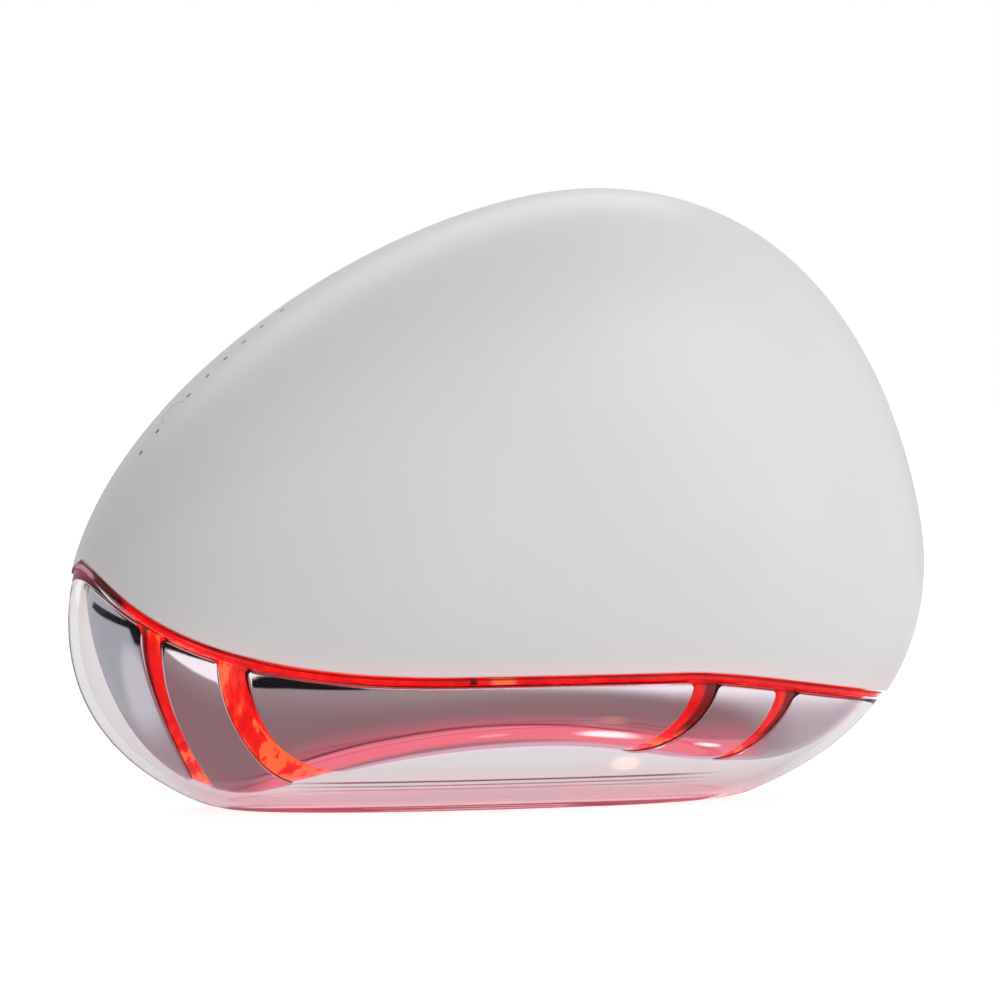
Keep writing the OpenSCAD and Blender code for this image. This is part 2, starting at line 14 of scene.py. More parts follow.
import bmesh
import bpy
import numpy as np
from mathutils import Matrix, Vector


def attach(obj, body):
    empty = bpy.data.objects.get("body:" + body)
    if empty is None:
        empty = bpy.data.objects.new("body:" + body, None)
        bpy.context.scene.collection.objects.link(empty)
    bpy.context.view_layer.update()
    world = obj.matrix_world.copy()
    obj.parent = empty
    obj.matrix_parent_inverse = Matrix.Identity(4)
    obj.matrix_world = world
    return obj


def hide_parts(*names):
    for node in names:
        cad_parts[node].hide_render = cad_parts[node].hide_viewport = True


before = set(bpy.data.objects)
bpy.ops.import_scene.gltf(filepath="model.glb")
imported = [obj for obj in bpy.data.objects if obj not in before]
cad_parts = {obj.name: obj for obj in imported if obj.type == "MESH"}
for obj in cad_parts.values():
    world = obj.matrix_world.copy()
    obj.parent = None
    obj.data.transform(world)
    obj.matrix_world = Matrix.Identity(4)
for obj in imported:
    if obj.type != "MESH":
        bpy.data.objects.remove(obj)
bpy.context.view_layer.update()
scene = bpy.context.scene
MM, TO_MM = 0.001, 1000.0  # the formulas are in millimetres, the scene in metres

# %% [markdown]
# ## Camera
#
# The photograph looks at the front from the left and almost from table height, with a long lens,
# so lines that run away from us hardly converge. The camera stands 600 mm away, turned
# 17.5 degrees, and the lens is chosen so that the picture is 115 mm wide at the object.

# %% Camera
AZIMUTH, ELEVATION = math.radians(-17.5), math.radians(1.8)
DISTANCE, SEEN_WIDTH, SENSOR = 0.600, 0.11507, 36.0
TARGET = Vector((-0.00075, 0.0, 0.0351))

towards_camera = Vector((math.sin(AZIMUTH) * math.cos(ELEVATION),
                         -math.cos(AZIMUTH) * math.cos(ELEVATION), math.sin(ELEVATION)))
lens = bpy.data.cameras.new("camera")
lens.sensor_width = SENSOR
lens.lens = SENSOR * DISTANCE / SEEN_WIDTH
lens.shift_x, lens.shift_y = 0.003, -0.002
lens.clip_start, lens.clip_end = 0.01, 10.0
camera = bpy.data.objects.new("camera", lens)
camera.location = TARGET + towards_camera * DISTANCE
camera.rotation_mode = "QUATERNION"
camera.rotation_quaternion = (-towards_camera).to_track_quat("-Z", "Y")
scene.collection.objects.link(camera)
scene.camera = camera
print("lens", round(lens.lens, 1), "mm")

# %% [markdown]
# ## A small language for shader maths
#
# A Blender material is a graph of nodes. Wrapping a socket in a Python object lets us write
# `1 - mask` or `dust * 0.3 + 0.2` and have the Math nodes added for us. Every other node comes
# from one method, `node`, which takes the type, its settings and the values of its sockets.

# %% Socket wrapper and finish builder
class Value:
    """A number or colour socket. + - * / and ** on it add Math nodes."""

    def __init__(self, finish, socket):
        self.finish, self.socket = finish, socket

    def math(self, operation, first, second):
        return self.finish.node("ShaderNodeMath", {"operation": operation}, {0: first, 1: second})

    def output(self, name):
        """Another output of the same node."""
        return Value(self.finish, self.socket.node.outputs[name])

    def rise(self, low, high):
        """Grows softly from 0 at low to 1 at high."""
        return self.finish.remap(self, low, high, 0.0, 1.0)

    def fall(self, low, high):
        """Falls softly from 1 at low to 0 at high."""
        return self.finish.remap(self, low, high, 1.0, 0.0)

    def __add__(self, other): return self.math("ADD", self, other)
    def __sub__(self, other): return self.math("SUBTRACT", self, other)
    def __rsub__(self, other): return self.math("SUBTRACT", other, self)
    def __mul__(self, other): return self.math("MULTIPLY", self, other)
    def __truediv__(self, other): return self.math("DIVIDE", self, other)
    def __rtruediv__(self, other): return self.math("DIVIDE", other, self)
    def __pow__(self, other): return self.math("POWER", self, other)
    __radd__, __rmul__ = __add__, __mul__


class Finish:
    """One material, built node by node. The last call names what covers the surface."""

    def __init__(self, name, owner=None):
        self.material = owner or bpy.data.materials.new(name)
        self.material.use_nodes = True
        self.tree = self.material.node_tree
        self.tree.nodes.clear()

    def node(self, kind, settings=None, inputs=None, output=0):
        """Adds a node: settings first (a ramp's stops as "stops"), then socket values or links."""
        made = self.tree.nodes.new(kind)
        for key, value in (settings or {}).items():
            if key == "stops":
                ramp = made.color_ramp.elements
                while len(ramp) < len(value):
                    ramp.new(0.5)
                for element, (place, colour) in zip(ramp, value):
                    element.position, element.color = place, (*colour, 1.0)
            else:
                setattr(made, key, value)
        for key, value in (inputs or {}).items():
            if isinstance(value, Value):
                self.tree.links.new(value.socket, made.inputs[key])
            else:
                made.inputs[key].default_value = value
        return Value(self, made.outputs[output] if len(made.outputs) else None)

    def place(self):
        """Object coordinates: metres in the object's own frame."""
        return self.node("ShaderNodeTexCoord", output="Object")

    def millimetres(self, axes):
        """The place along each of the named axes, in millimetres."""
        split = self.node("ShaderNodeSeparateXYZ", inputs={0: self.place()})
        return [split.output(axis) * TO_MM for axis in axes]

    def noise(self, scale, detail=3.0, stretch=(1, 1, 1), rough=0.5):
        """Soft random pattern, scale per metre, drawn out by stretch."""
        spot = self.node("ShaderNodeMapping", inputs={"Vector": self.place(), "Scale": stretch})
        return self.node("ShaderNodeTexNoise", {"noise_dimensions": "3D"},
                         {"Vector": spot, "Scale": scale, "Detail": detail, "Roughness": rough})

    def attribute(self, name):
        """A number that the mesh carries at each vertex."""
        return self.node("ShaderNodeAttribute", {"attribute_name": name}, output="Fac")

    def remap(self, value, low, high, to_low, to_high):
        """value from low..high to to_low..to_high, held at both ends."""
        return self.node("ShaderNodeMapRange", {"interpolation_type": "SMOOTHSTEP"},
                         {"Value": value, "From Min": low, "From Max": high,
                          "To Min": to_low, "To Max": to_high})

    def blend(self, share, first, second):
        """Colour mix: first where share is 0, second where it is 1."""
        first, second = (c if isinstance(c, Value) else (*c, 1.0) for c in (first, second))
        return self.node("ShaderNodeMix", {"data_type": "RGBA"},
                         {"Factor": share, "A": first, "B": second}, output="Result")

    def layers(self, colour, pairs):
        """Lays colours over the first one, each by its share."""
        for share, over in pairs:
            colour = self.blend(share, colour, over)
        return colour

    def ramp(self, value, stops):
        return self.node("ShaderNodeValToRGB", {"stops": stops}, {"Fac": value}, output="Color")

    def bump(self, height, depth):
        """Bump of that depth in metres."""
        return self.node("ShaderNodeBump", inputs={"Height": height, "Distance": depth,
                                                   "Strength": 1.0}, output="Normal")

    def principled(self, **sockets):
        """Principled shader. Socket names have underscores for spaces."""
        named = {key.replace("_", " "): value for key, value in sockets.items()}
        for key in ("Base Color", "Emission Color"):
            if isinstance(named.get(key), tuple):
                named[key] = (*named[key], 1.0)
        return self.node("ShaderNodeBsdfPrincipled", inputs=named)

    def cover_with(self, shader):
        self.node("ShaderNodeOutputMaterial", inputs={"Surface": shader})
        print("finish", self.material.name, len(self.tree.nodes), "nodes")
        return self.material

# %% [markdown]
# ## Room and light
#
# The photograph is a product shot on pure white, yet the chrome shows a grey room: a dark gap
# straight ahead where the camera stands, another on the left, a bright wall on the right.
# `mirrored` writes that room as one brightness per direction, with window functions in azimuth
# and in steepness (the tangent of elevation). Only rays that have been mirrored see it. Rays
# that merely bounce about inside the clear plastic see white, and other rays get a soft light
# that is a little stronger from behind and from the right.

# %% Studio
BLACK, GREY, WHITE, WALL = 0.004, 0.45, 1.0, 1.1


def window(value, low, high, soft):
    """1 where value lies between low and high, 0 outside, with soft borders."""
    return value.rise(low - soft, low + soft) * value.fall(high - soft, high + soft)


def towards(value, share, goal):
    """value where share is 0, goal where it is 1."""
    return value * (1.0 - share) + share * goal


def mirrored(finish, azimuth, steepness):
    """Brightness of the room in that direction, azimuth in degrees from the front, right positive:
    grey, with a bright wall on the right and two black gaps near the horizon."""
    wall = window(azimuth, 39, 112, 8)
    ahead = window(azimuth, -22, 6, 3) * window(steepness, -0.4, 0.12, 0.02)
    left = window(azimuth, -98, -26, 4) * window(steepness, -0.235, 0.12, 0.02)
    room = finish.remap(steepness, -1.0, 0.6, GREY * 0.9, GREY * 1.5)
    for share, tone in ((wall, WALL), (ahead, BLACK), (left, BLACK)):
        room = towards(room, share, tone)
    return room


def compass(x, y):
    """Azimuth in degrees of the direction (x, y): 0 is the front, -Y, and right is positive."""
    return x.math("ARCTAN2", x, y * -1.0) * (180 / math.pi)


def ray_kinds(finish):
    """Two shares: straight to the camera, also through clear plastic, and mirrored. A ray that was
    mirrored inside the plastic has crossed its surface once or twice and counts as straight."""
    path = finish.node("ShaderNodeLightPath")
    bounced, spread, crossed = (path.output(kind + " Depth")
                                for kind in ("Glossy", "Diffuse", "Transmission"))
    bounced, spread = (depth.math("MINIMUM", depth, 1.0) for depth in (bounced, spread))
    inside = crossed.math("GREATER_THAN", crossed, 0.5) * crossed.math("LESS_THAN", crossed, 2.5)
    straight = path.output("Is Camera Ray") + path.output("Is Transmission Ray")
    seen = (1.0 - bounced) * straight + bounced * inside
    return seen * (1.0 - spread), bounced * (1.0 - inside) * (1.0 - spread)


# %% World
world = bpy.data.worlds.new("studio")
scene.world = world
sky = Finish("studio", world)
direction = sky.node("ShaderNodeSeparateXYZ", inputs={
    0: sky.node("ShaderNodeTexCoord", output="Generated")})
along_x, along_y, up = (direction.output(axis) for axis in "XYZ")
flat = (along_x * along_x + along_y * along_y + 1e-4) ** 0.5
AMBIENT = 0.49
soft_light = (AMBIENT + sky.remap(along_x, -0.8, 0.8, -0.10, 0.05)
              + sky.remap(along_y, -0.5, 0.8, 0.0, 0.32))
seen, mirror = ray_kinds(sky)
shown = towards(soft_light, mirror, mirrored(sky, compass(along_x, along_y), up / flat))
shown = towards(shown, seen, WHITE)
sky.node("ShaderNodeOutputWorld", inputs={"Surface": sky.node(
    "ShaderNodeBackground", inputs={"Color": shown, "Strength": 1.0})})

# %% [markdown]
# The lamps: a box on the right that gives the soft highlight, a front fill that leaves none,
# and a long one above and behind that draws the bright band along the upper rim.

# %% Lamps
def softbox(name, place, aim, width, height, watts, shines=True):
    """A rectangular area lamp at place that looks at aim, in metres. shines: it is mirrored."""
    lamp = bpy.data.lights.new(name, "AREA")
    lamp.shape, lamp.size, lamp.size_y, lamp.energy = "RECTANGLE", width, height, watts
    box = bpy.data.objects.new(name, lamp)
    box.location = place
    box.rotation_euler = (Vector(aim) - Vector(place)).to_track_quat("-Z", "Y").to_euler()
    box.visible_glossy = shines
    scene.collection.objects.link(box)


HEART = (0.0, 0.0, 0.035)
softbox("right box", (0.47, -0.58, 0.26), HEART, 0.42, 0.56, 1.32)
softbox("front fill", (0.22, -0.72, 0.20), HEART, 0.30, 0.30, 1.35, shines=False)
softbox("rim box", (-0.02, 0.36, 0.52), HEART, 0.70, 0.30, 1.05)

# %% [markdown]
# ## Floor
#
# The table is white and so is everything beyond it. For the camera the floor adds its own glow,
# so lit parts reach white and only the soft shadow under the object stays darker. The plates
# look down at the table, so what they mirror is painted there, in millimetres east and north of
# the middle: a dim floor in front that turns to a pale wall on the right, grey paper on the left,
# one white card and dark gaps, and a pink pool under the head where the red light falls. The floor
# lies a hair below the cover's base, so that the two planes don't mix.

# %% Floor
FLOOR_Z = -0.02 * MM


def floor_plane(size):
    """A flat square of that half width, a hair below the cover's flat base."""
    mesh = bpy.data.meshes.new("floor")
    mesh.from_pydata([(-size, -size, FLOOR_Z), (size, -size, FLOOR_Z), (size, size, FLOOR_Z),
                      (-size, size, FLOOR_Z)], [], [(0, 1, 2, 3)])
    plane = bpy.data.objects.new("floor", mesh)
    scene.collection.objects.link(plane)
    return plane


def spot_light(east, north, middle, radius):
    """1 within half a radius of the middle, falling softly to 0 at one and a half."""
    x, y = east - middle[0], north - middle[1]
    return ((x * x + y * y) ** 0.5).fall(radius * 0.5, radius * 1.5)


def table_picture(finish, east, north):
    """The colour that mirrored rays find on the table: layers laid over one another."""
    front = north * -1.0
    aside = east.fall(-49, -46)
    paper = finish.layers((0.50, 0.53, 0.57), (
        (spot_light(east * 0.5, north, (-36, 2), 14), (0.76, 0.755, 0.80)),
        (east.rise(-58, -42), (0.50, 0.35, 0.38))))
    # bow: distance behind the arch's shadow line, which bends backwards on both sides
    swing = (east + 8.0).math("MINIMUM", east + 8.0, 20.0)
    bow = north + 12.5 - swing * swing * 0.012
    sides = window(east, -29, 31, 3)
    glints = (spot_light(east * 0.6, north, (7.2, -5), 1.8)
              + spot_light(east * 0.5, north, (12.2, -5), 0.8)
              + spot_light(east * 0.4, north, (-0.6, -6), 0.8) * 0.2)
    gaps = ((front - east * 0.725).rise(139, 146) * aside
            + window(east, -46.5, -14, 1.5) * (front - east * 0.5).rise(68, 72)
            + window(east, -174, -140, 3) * north.fall(165, 200)
            + east.fall(-108, -97) * north.fall(-15, -7))
    return finish.layers((0.36, 0.205, 0.22), (
        (front.rise(16, 50), (0.44, 0.34, 0.35)),  # the floor in front
        (east.rise(27, 42), (0.64, 0.52, 0.56)),  # paler on the right
        ((east + front * 1.25).rise(50, 95) * east.rise(-5, 30), (1.25, 1.18, 1.22)),  # wall
        (north.rise(0, 4), (0.76, 0.62, 0.72)),  # lavender behind, then nearly white
        (north.rise(8, 16), (1.05, 0.92, 0.99)),
        (window(north - east * 0.74, -27, -15, 3) * window(east, 32, 64, 4), (0.60, 0.51, 0.57)),
        ((north - east * 0.2).rise(3, 8) * east.fall(-40, -35), paper),
        (bow.rise(-9, -0.3) * bow.fall(-0.2, 0.4) * sides, (0.66, 0.20, 0.24)),  # red haze
        (bow.rise(-0.2, 0.4) * bow.fall(7.5, 12.5) * sides, (1.08, 0.29, 0.35)),  # pink pool
        (window(bow, -0.8, 0.2, 0.25) * window(east, -32, 13, 6) * 0.85, (0.28, 0.03, 0.05)),
        (glints.math("MINIMUM", glints, 1.0), (2.0, 1.7, 1.6)),
        ((front + east * 0.2).rise(31, 36) * aside, (1.35, 1.26, 1.30)),  # white card
        (gaps.math("MINIMUM", gaps, 1.0), (BLACK, BLACK, BLACK))))


HEAD_HEIGHT, HEAD_REACH = 14.0, 19.0  # where the mirrors stand over the table
PICTURE_NEAR, PICTURE_FAR = 260, 400  # from near to far the table's picture turns into the room
floor = floor_plane(3.0)
paper = Finish("white table")
east, north = paper.millimetres("XY")
far = (east * east + north * north) ** 0.5
slant = -HEAD_HEIGHT / far.math("MAXIMUM", far - HEAD_REACH, 2.0)
room = mirrored(paper, compass(east, north), slant)
room = paper.node("ShaderNodeCombineXYZ", inputs={0: room, 1: room, 2: room})
fade = far.rise(PICTURE_NEAR, PICTURE_FAR)
reflection = paper.node("ShaderNodeEmission", inputs={
    "Color": paper.blend(fade, table_picture(paper, east, north), room), "Strength": 1.0})
seen, mirror = ray_kinds(paper)
pale = paper.node("ShaderNodeBsdfDiffuse", inputs={"Color": (0.80, 0.80, 0.80, 1.0)})
dim = paper.node("ShaderNodeBsdfDiffuse", inputs={"Color": (0.45, 0.45, 0.45, 1.0)})
horizon = paper.remap(far, 250, 1200, 0.80, 1.0)
through = paper.node("ShaderNodeLightPath", output="Is Transmission Ray")
own = paper.node("ShaderNodeEmission", inputs={
    "Color": (1, 1, 1, 1), "Strength": horizon * (1.0 - through * 0.40)})
bright = paper.node("ShaderNodeAddShader", inputs={0: dim, 1: own})
surface = paper.node("ShaderNodeMixShader", inputs={0: mirror, 1: pale, 2: reflection})
floor.data.materials.append(paper.cover_with(
    paper.node("ShaderNodeMixShader", inputs={0: seen, 1: surface, 2: bright})))

# %% [markdown]
# ## The pebble as a formula
#
# Everything follows from one closed outline, seen from the front: four cubic curves between the
# leftmost, lowest, rightmost and highest point. Over a point of that outline's inside the body is
# half_t * sqrt(1 - q^2.8) thick on either side, where q says how far out the point lies.

# %% Outline and section
BODY_T, SECTION = 41.0, 2.8
HALF_T = BODY_T / 2
LEFT, LOW, RIGHT, TOP = map(np.array, ((-51.25, 21.3), (-6.0, -4.3), (51.25, 27.2), (11.4, 70.8)))
CENTRE_Z = 35.1


def bend(a, b, c, d, n=400):
    """n points on a cubic curve: (1-t)^3 a + 3 (1-t)^2 t b + 3 (1-t) t^2 c + t^3 d."""
    t = np.linspace(0, 1, n)[:, None]
    a, b, c, d = map(np.asarray, (a, b, c, d))
    return (1 - t)**3 * a + 3 * (1 - t)**2 * t * b + 3 * (1 - t) * t * t * c + t**3 * d


outline = np.vstack((
    bend(LEFT, LEFT - (0, 26), LOW - (5.8, 0), LOW),
    bend(LOW, LOW + (10.4, 0), RIGHT - (0, 32.3), RIGHT),
    bend(RIGHT, RIGHT + (0, 9), TOP + (32, 0), TOP),
    bend(TOP, TOP - (22.8, 0), LEFT + (0, 25), LEFT)))
outline_angle = np.unwrap(np.arctan2(outline[:, 1] - CENTRE_Z, outline[:, 0]))
outline_reach = np.hypot(outline[:, 0], outline[:, 1] - CENTRE_Z)


def reach(angle):
    """Distance from the centre to the outline in that direction, read from the drawn curve."""
    start = outline_angle[0]
    return np.interp((angle - start) % (2 * np.pi) + start, outline_angle, outline_reach)


def half_depth(x, z, end=0.0, face=0.0):
    """(half_t - face) * sqrt(1 - q^2.8), with q = distance from the centre / (reach - end)."""
    q = np.hypot(x, z - CENTRE_Z) / (reach(np.arctan2(z - CENTRE_Z, x)) - end)
    return (HALF_T - face) * np.sqrt(1 - np.minimum(q, 1)**SECTION)


def skin(angle, tilt, inset=0.0):
    """Point on the pebble: q = sin(tilt)^(2/2.8) of the reach outwards, y = -half_t cos(tilt)."""
    r = (reach(angle) - inset) * np.sin(tilt)**(2 / SECTION)
    return np.stack((r * np.cos(angle), -(HALF_T - inset) * np.cos(tilt),
                     CENTRE_Z + r * np.sin(angle)), -1)


def skin_value(p):
    """q^2.8 + (y / half_t)^2, which is 1 on the pebble's skin."""
    q = np.hypot(p[..., 0], p[..., 2] - CENTRE_Z) / reach(
        np.arctan2(p[..., 2] - CENTRE_Z, p[..., 0]))
    return q**SECTION + (p[..., 1] / HALF_T)**2


def skin_normal(p):
    """Outward normal: the slope of skin_value along x, y and z, scaled to length 1."""
    step = 0.02
    slope = np.stack([skin_value(p + step * axis) - skin_value(p - step * axis)
                      for axis in np.eye(3)], -1)
    return slope / np.linalg.norm(slope, axis=-1, keepdims=True)


print("outline", outline.min(0).round(1), outline.max(0).round(1))

# %% [markdown]
# ## The housing's lower edge
#
# The edge falls steeply at the left tip, runs level under the middle and drops a little to the
# right. It is a curve in the front view that cuts straight through from front to back. Level
# curves between it and a flat height give the loops for rings and for the clear cover.

# %% Edge line and level loops
FAR_OUT = 53.0  # lies outside the outline at both ends
edge_curve = np.vstack((bend((-51.5, 35.4), (-51.3, 22.3), (-38.2, 15.7), (-10, 15.7)),
                        bend((16, 15.7), (23.1, 15.7), (35, 13.4), (54, 11.1))))


def edge_z(x):
    return np.interp(x, edge_curve[:, 0], edge_curve[:, 1])


def level_height(x, share, lift, low):
    """Height of a level curve: share 0 is the lifted edge line, share 1 is the flat height low."""
    return (edge_z(x) + lift) * (1 - share) + low * share


def halved(low, high, holds):
    """The place between low and high up to which holds is true, found by 40 halvings."""
    for _ in range(40):
        middle = (low + high) / 2
        true = holds(middle)
        low, high = np.where(true, middle, low), np.where(true, high, middle)
    return (low + high) / 2


def level_ends(share, lift, low, inset):
    """x where each level curve leaves the drawn-in outline, left and right."""
    def inside(x):
        z = level_height(x, share, lift, low)
        return np.hypot(x, z - CENTRE_Z) + inset < reach(np.arctan2(z - CENTRE_Z, x))

    start = np.zeros_like(share + inset)
    return [halved(start, start + far, inside) for far in (-FAR_OUT, FAR_OUT)]


def level_loops(rows, turn):
    """Closed loops round the pebble. rows has share, lift, low and inset of each loop, and turn
    the angles: x = middle - half width * cos(turn), y = -+ half depth there."""
    share, lift, low, inset = (np.asarray(rows, float)[:, i:i + 1] for i in range(4))
    left, right = level_ends(share, lift, low, inset)
    x = (left + right) / 2 - (right - left) / 2 * np.cos(turn)
    z = level_height(x, share, lift, low)
    side = np.where(np.abs(np.sin(turn)) < 1e-9, 0.0, np.sign(np.sin(turn)))
    return np.stack((x, -side * half_depth(x, z, inset, inset), z), -1)


def around(n):
    """n angles of a closed turn."""
    return np.arange(n) * 2 * np.pi / n


def round_over(distance, radius):
    """How far a rounded edge lies back at that distance from it: r - sqrt(r^2 - (r - d)^2)."""
    back = np.clip(radius - distance, 0, radius)
    return radius - np.sqrt(radius**2 - back**2)


print("edge heights", edge_z(np.array([-45, -20, 0, 20, 40])).round(1))

# %% [markdown]
# ## From arrays to meshes
#
# A piece is a grid of points: a `tube` through loops or a `sheet` of two grids. `add_piece` makes
# the mesh, merges rows that shrink to one point, and turns every face outwards.

# %% Mesh helpers
BODY_OF_DEVICE = "device"
SMOOTH_ANGLE, SMOOTH_ANGLE_CUT = math.radians(40), math.radians(35)


def numbers(items, name, size=1):
    """One property of all items of a mesh as an array: whole numbers, or rows of size."""
    values = np.zeros(len(items) * size, dtype=np.int32 if size == 1 else float)
    items.foreach_get(name, values)
    return values if size == 1 else values.reshape(-1, size)


def mark(mesh, name, values):
    """Gives each vertex a number that the finish reads."""
    mesh.attributes.new(name, "FLOAT", "POINT").data.foreach_set("value", values)


def add_piece(name, shape, finish, body, replaces=(), marks=None):
    """Makes a mesh object from vertices in millimetres and faces, merges doubles and makes it a
    piece. marks are numbers that its vertices carry for the finish."""
    vertices, faces = shape
    mesh = bpy.data.meshes.new(name)
    mesh.from_pydata((vertices * MM).tolist(), [], faces.tolist())
    for key, values in (marks or {}).items():
        mark(mesh, key, values)
    work = bmesh.new()
    work.from_mesh(mesh)
    bmesh.ops.remove_doubles(work, verts=work.verts, dist=2e-6)
    bmesh.ops.dissolve_degenerate(work, edges=work.edges, dist=1e-7)
    bmesh.ops.recalc_face_normals(work, faces=work.faces)
    work.to_mesh(mesh)
    work.free()
    mesh.materials.append(finish)
    mesh.shade_smooth()
    piece = bpy.data.objects.new(name, mesh)
    scene.collection.objects.link(piece)
    mesh.set_sharp_from_angle(angle=SMOOTH_ANGLE)
    if body:
        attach(piece, body)
    if replaces:
        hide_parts(*replaces)
    print(name, len(mesh.polygons), "faces,", count_open(mesh), "open edges")
    return piece


def count_open(mesh):
    """Number of edges that don't have two faces."""
    pairs = numbers(mesh.loops, "edge_index")
    return int((np.bincount(pairs, minlength=len(mesh.edges)) != 2).sum())


def grid_faces(rows, cols, wrap_rows=False, wrap_cols=False):
    """Quads of a rows x cols grid of vertices numbered row by row."""
    j = np.arange(rows if wrap_rows else rows - 1)[:, None]
    i = np.arange(cols if wrap_cols else cols - 1)[None, :]
    k, l = (j + 1) % rows, (i + 1) % cols
    return np.stack((j * cols + i, j * cols + l, k * cols + l, k * cols + i), -1).reshape(-1, 4)


def joined(shapes):
    """Several pairs of vertices and faces as one pair."""
    start = np.cumsum([0] + [len(vertices) for vertices, _ in shapes])
    return (np.concatenate([vertices for vertices, _ in shapes]),
            np.concatenate([faces + first for (_, faces), first in zip(shapes, start)]))


def sheet(grid, back):
    """Two equal grids of points as a sheet with a thickness, closed along its four borders."""
    rows, cols = grid.shape[:2]
    half = rows * cols
    outer, inner = grid_faces(rows, cols), grid_faces(rows, cols)[:, ::-1] + half
    border = np.concatenate((np.arange(cols), np.arange(2, rows) * cols - 1,
                             half - 1 - np.arange(cols), np.arange(rows - 2, 0, -1) * cols))
    after = np.roll(border, -1)
    rim = np.stack((after, border, border + half, after + half), -1)
    return (np.concatenate((grid.reshape(-1, 3), back.reshape(-1, 3))),
            np.concatenate((outer, inner, rim)))


def tube(loops, closed_rows=False):
    """A tube through equal loops. Its two ends shrink to a point unless the rows close up."""
    if not closed_rows:
        middle = loops.mean(1, keepdims=True) * np.ones((1, loops.shape[1], 1))
        loops = np.concatenate((middle[:1], loops, middle[-1:]))
    return loops.reshape(-1, 3), grid_faces(*loops.shape[:2], closed_rows, True)


# %% [markdown]
# ## Pearl paint
#
# The housing is sprayed in a warm white with fine pearl flakes under a clear coat. The flakes are
# far too small to see one by one at this distance: they show as a very slight unevenness of
# colour and gloss. The coat is thin and satin, so its highlight is as soft as the paint's. Near
# the lower edge the paint picks up a little red light, which the mark near_glow carries and which
# is painted on as a faint red glow of the paint itself.

# %% Paint and plain finishes
def plain(name, dark, light, rough, drift=0.15, grain=(1500.0,), relief=0.0, **sockets):
    """A finish whose colour drifts between two tones with a grain, and whose gloss follows it."""
    finish = Finish(name)
    pattern = finish.noise(*grain)
    if drift:
        rough = rough + pattern * drift
    if relief:
        sockets["Normal"] = finish.bump(pattern, relief)
    return finish.cover_with(finish.principled(
        Base_Color=finish.blend(pattern, dark, light), Roughness=rough, **sockets))


def pearl_paint():
    paint = Finish("pearl paint")
    cloud = paint.noise(60.0, 4.0)
    flake = paint.noise(9000.0, 1.0)
    warm = paint.blend(cloud, (0.690, 0.686, 0.686), (0.720, 0.714, 0.714))
    colour = paint.blend(paint.remap(flake, 0.45, 0.75, 0.0, 0.35), warm, (0.76, 0.755, 0.76))
    # near_glow drives a painted red glow: the red line's light spilling onto the paint near the
    # lower edge
    glow = paint.attribute("near_glow")
    painted_red_spill = paint.blend(glow, (0.0, 0.0, 0.0), (0.30, 0.035, 0.03))
    return paint.cover_with(paint.principled(
        Base_Color=colour, Roughness=0.36 + paint.noise(300.0) * 0.08, Specular_IOR_Level=0.5,
        Coat_Weight=0.15, Coat_Roughness=0.30, Emission_Color=painted_red_spill, Emission_Strength=1.0,
        Normal=paint.bump(flake, 4e-7)))


PEARL = pearl_paint()

# %% [markdown]
# ## The two housing halves
#
# Each half is the pebble's skin inside a closed border: the lower edge on one side and the
# parting plane, 6.8 mm behind the middle, over the top. In a flat map where every skin point sits
# at (tilt cos angle, tilt sin angle) that border is a plain closed curve, so straight lines from a
# point inside it to the border give a grid whose last row follows both edges exactly. The last
# rows bend inwards for the rounded lip, and a second, drawn-in skin closes the wall.

# %% Housing halves
SHELL_WALL, PARTING = 1.8, 6.8
MAP_MIDDLE = np.array((0.0, 0.35))
LIP_EDGE, LIP_PARTING = 0.30, 0.22
LIP_STEPS = np.array((1.0, 0.7, 0.45, 0.25, 0.12, 0.04, 0.0))


def half_border(inset, parting, n_edge, n_part):
    """Border of a half in the flat map: along the lower edge to the right, back over the top."""
    def depth_at(turn):
        return level_loops([(0, 0, 0, inset)], np.array([turn]))[0, 0, 1]

    first = halved(-np.pi / 2, np.pi / 2, lambda turn: depth_at(turn) > parting)
    last = halved(np.pi / 2, 3 * np.pi / 2, lambda turn: depth_at(turn) < parting)
    edge = level_loops([(0, 0, 0, inset)], np.linspace(first, last, n_edge))[0]
    tilt = np.arccos(-edge[:, 1] / (HALF_T - inset))
    angle = np.arctan2(edge[:, 2] - CENTRE_Z, edge[:, 0])
    over = np.linspace(angle[-1], angle[0] % (2 * np.pi), n_part)[1:-1]
    tilt = np.concatenate((tilt, np.full(n_part - 2, np.arccos(-parting / (HALF_T - inset)))))
    angle = np.concatenate((angle, over))
    return np.stack((tilt * np.cos(angle), tilt * np.sin(angle)), -1)


def map_to_skin(flat, inset):
    return skin(np.arctan2(flat[..., 1], flat[..., 0]), np.hypot(flat[..., 0], flat[..., 1]), inset)


def half_grid(parting, n_edge=360, n_part=300, n_rows=80):
    """Rows of loops: out over the skin, round the lip, back over the inner skin."""
    border = half_border(0.0, parting, n_edge, n_part)
    spoke = border - MAP_MIDDLE
    length = np.linalg.norm(map_to_skin(border, 0) - map_to_skin(border - 0.01 * spoke, 0),
                            axis=-1) / 0.01
    column = np.arange(len(border))
    near_edge = np.interp(column, (0, 6, n_edge - 7, n_edge - 1), (0, 1, 1, 0))
    radius = LIP_PARTING + (LIP_EDGE - LIP_PARTING) * near_edge
    main = np.linspace(0, 1, n_rows)[:, None] * (1 - 1.6 * radius / length)
    lip = 1 - LIP_STEPS[:, None] * radius / length
    share = np.concatenate((main, lip))[..., None]
    outer = map_to_skin(MAP_MIDDLE + share * spoke, 0)
    depth = round_over((1 - share[..., 0]) * length, radius)[..., None]
    outer = outer - skin_normal(outer) * depth
    inner_border = half_border(SHELL_WALL, parting, n_edge, n_part)
    back = np.linspace(1, 0, 16)[:, None, None]
    inner = map_to_skin(MAP_MIDDLE + back * (inner_border - MAP_MIDDLE), SHELL_WALL)
    return np.concatenate((outer, inner))


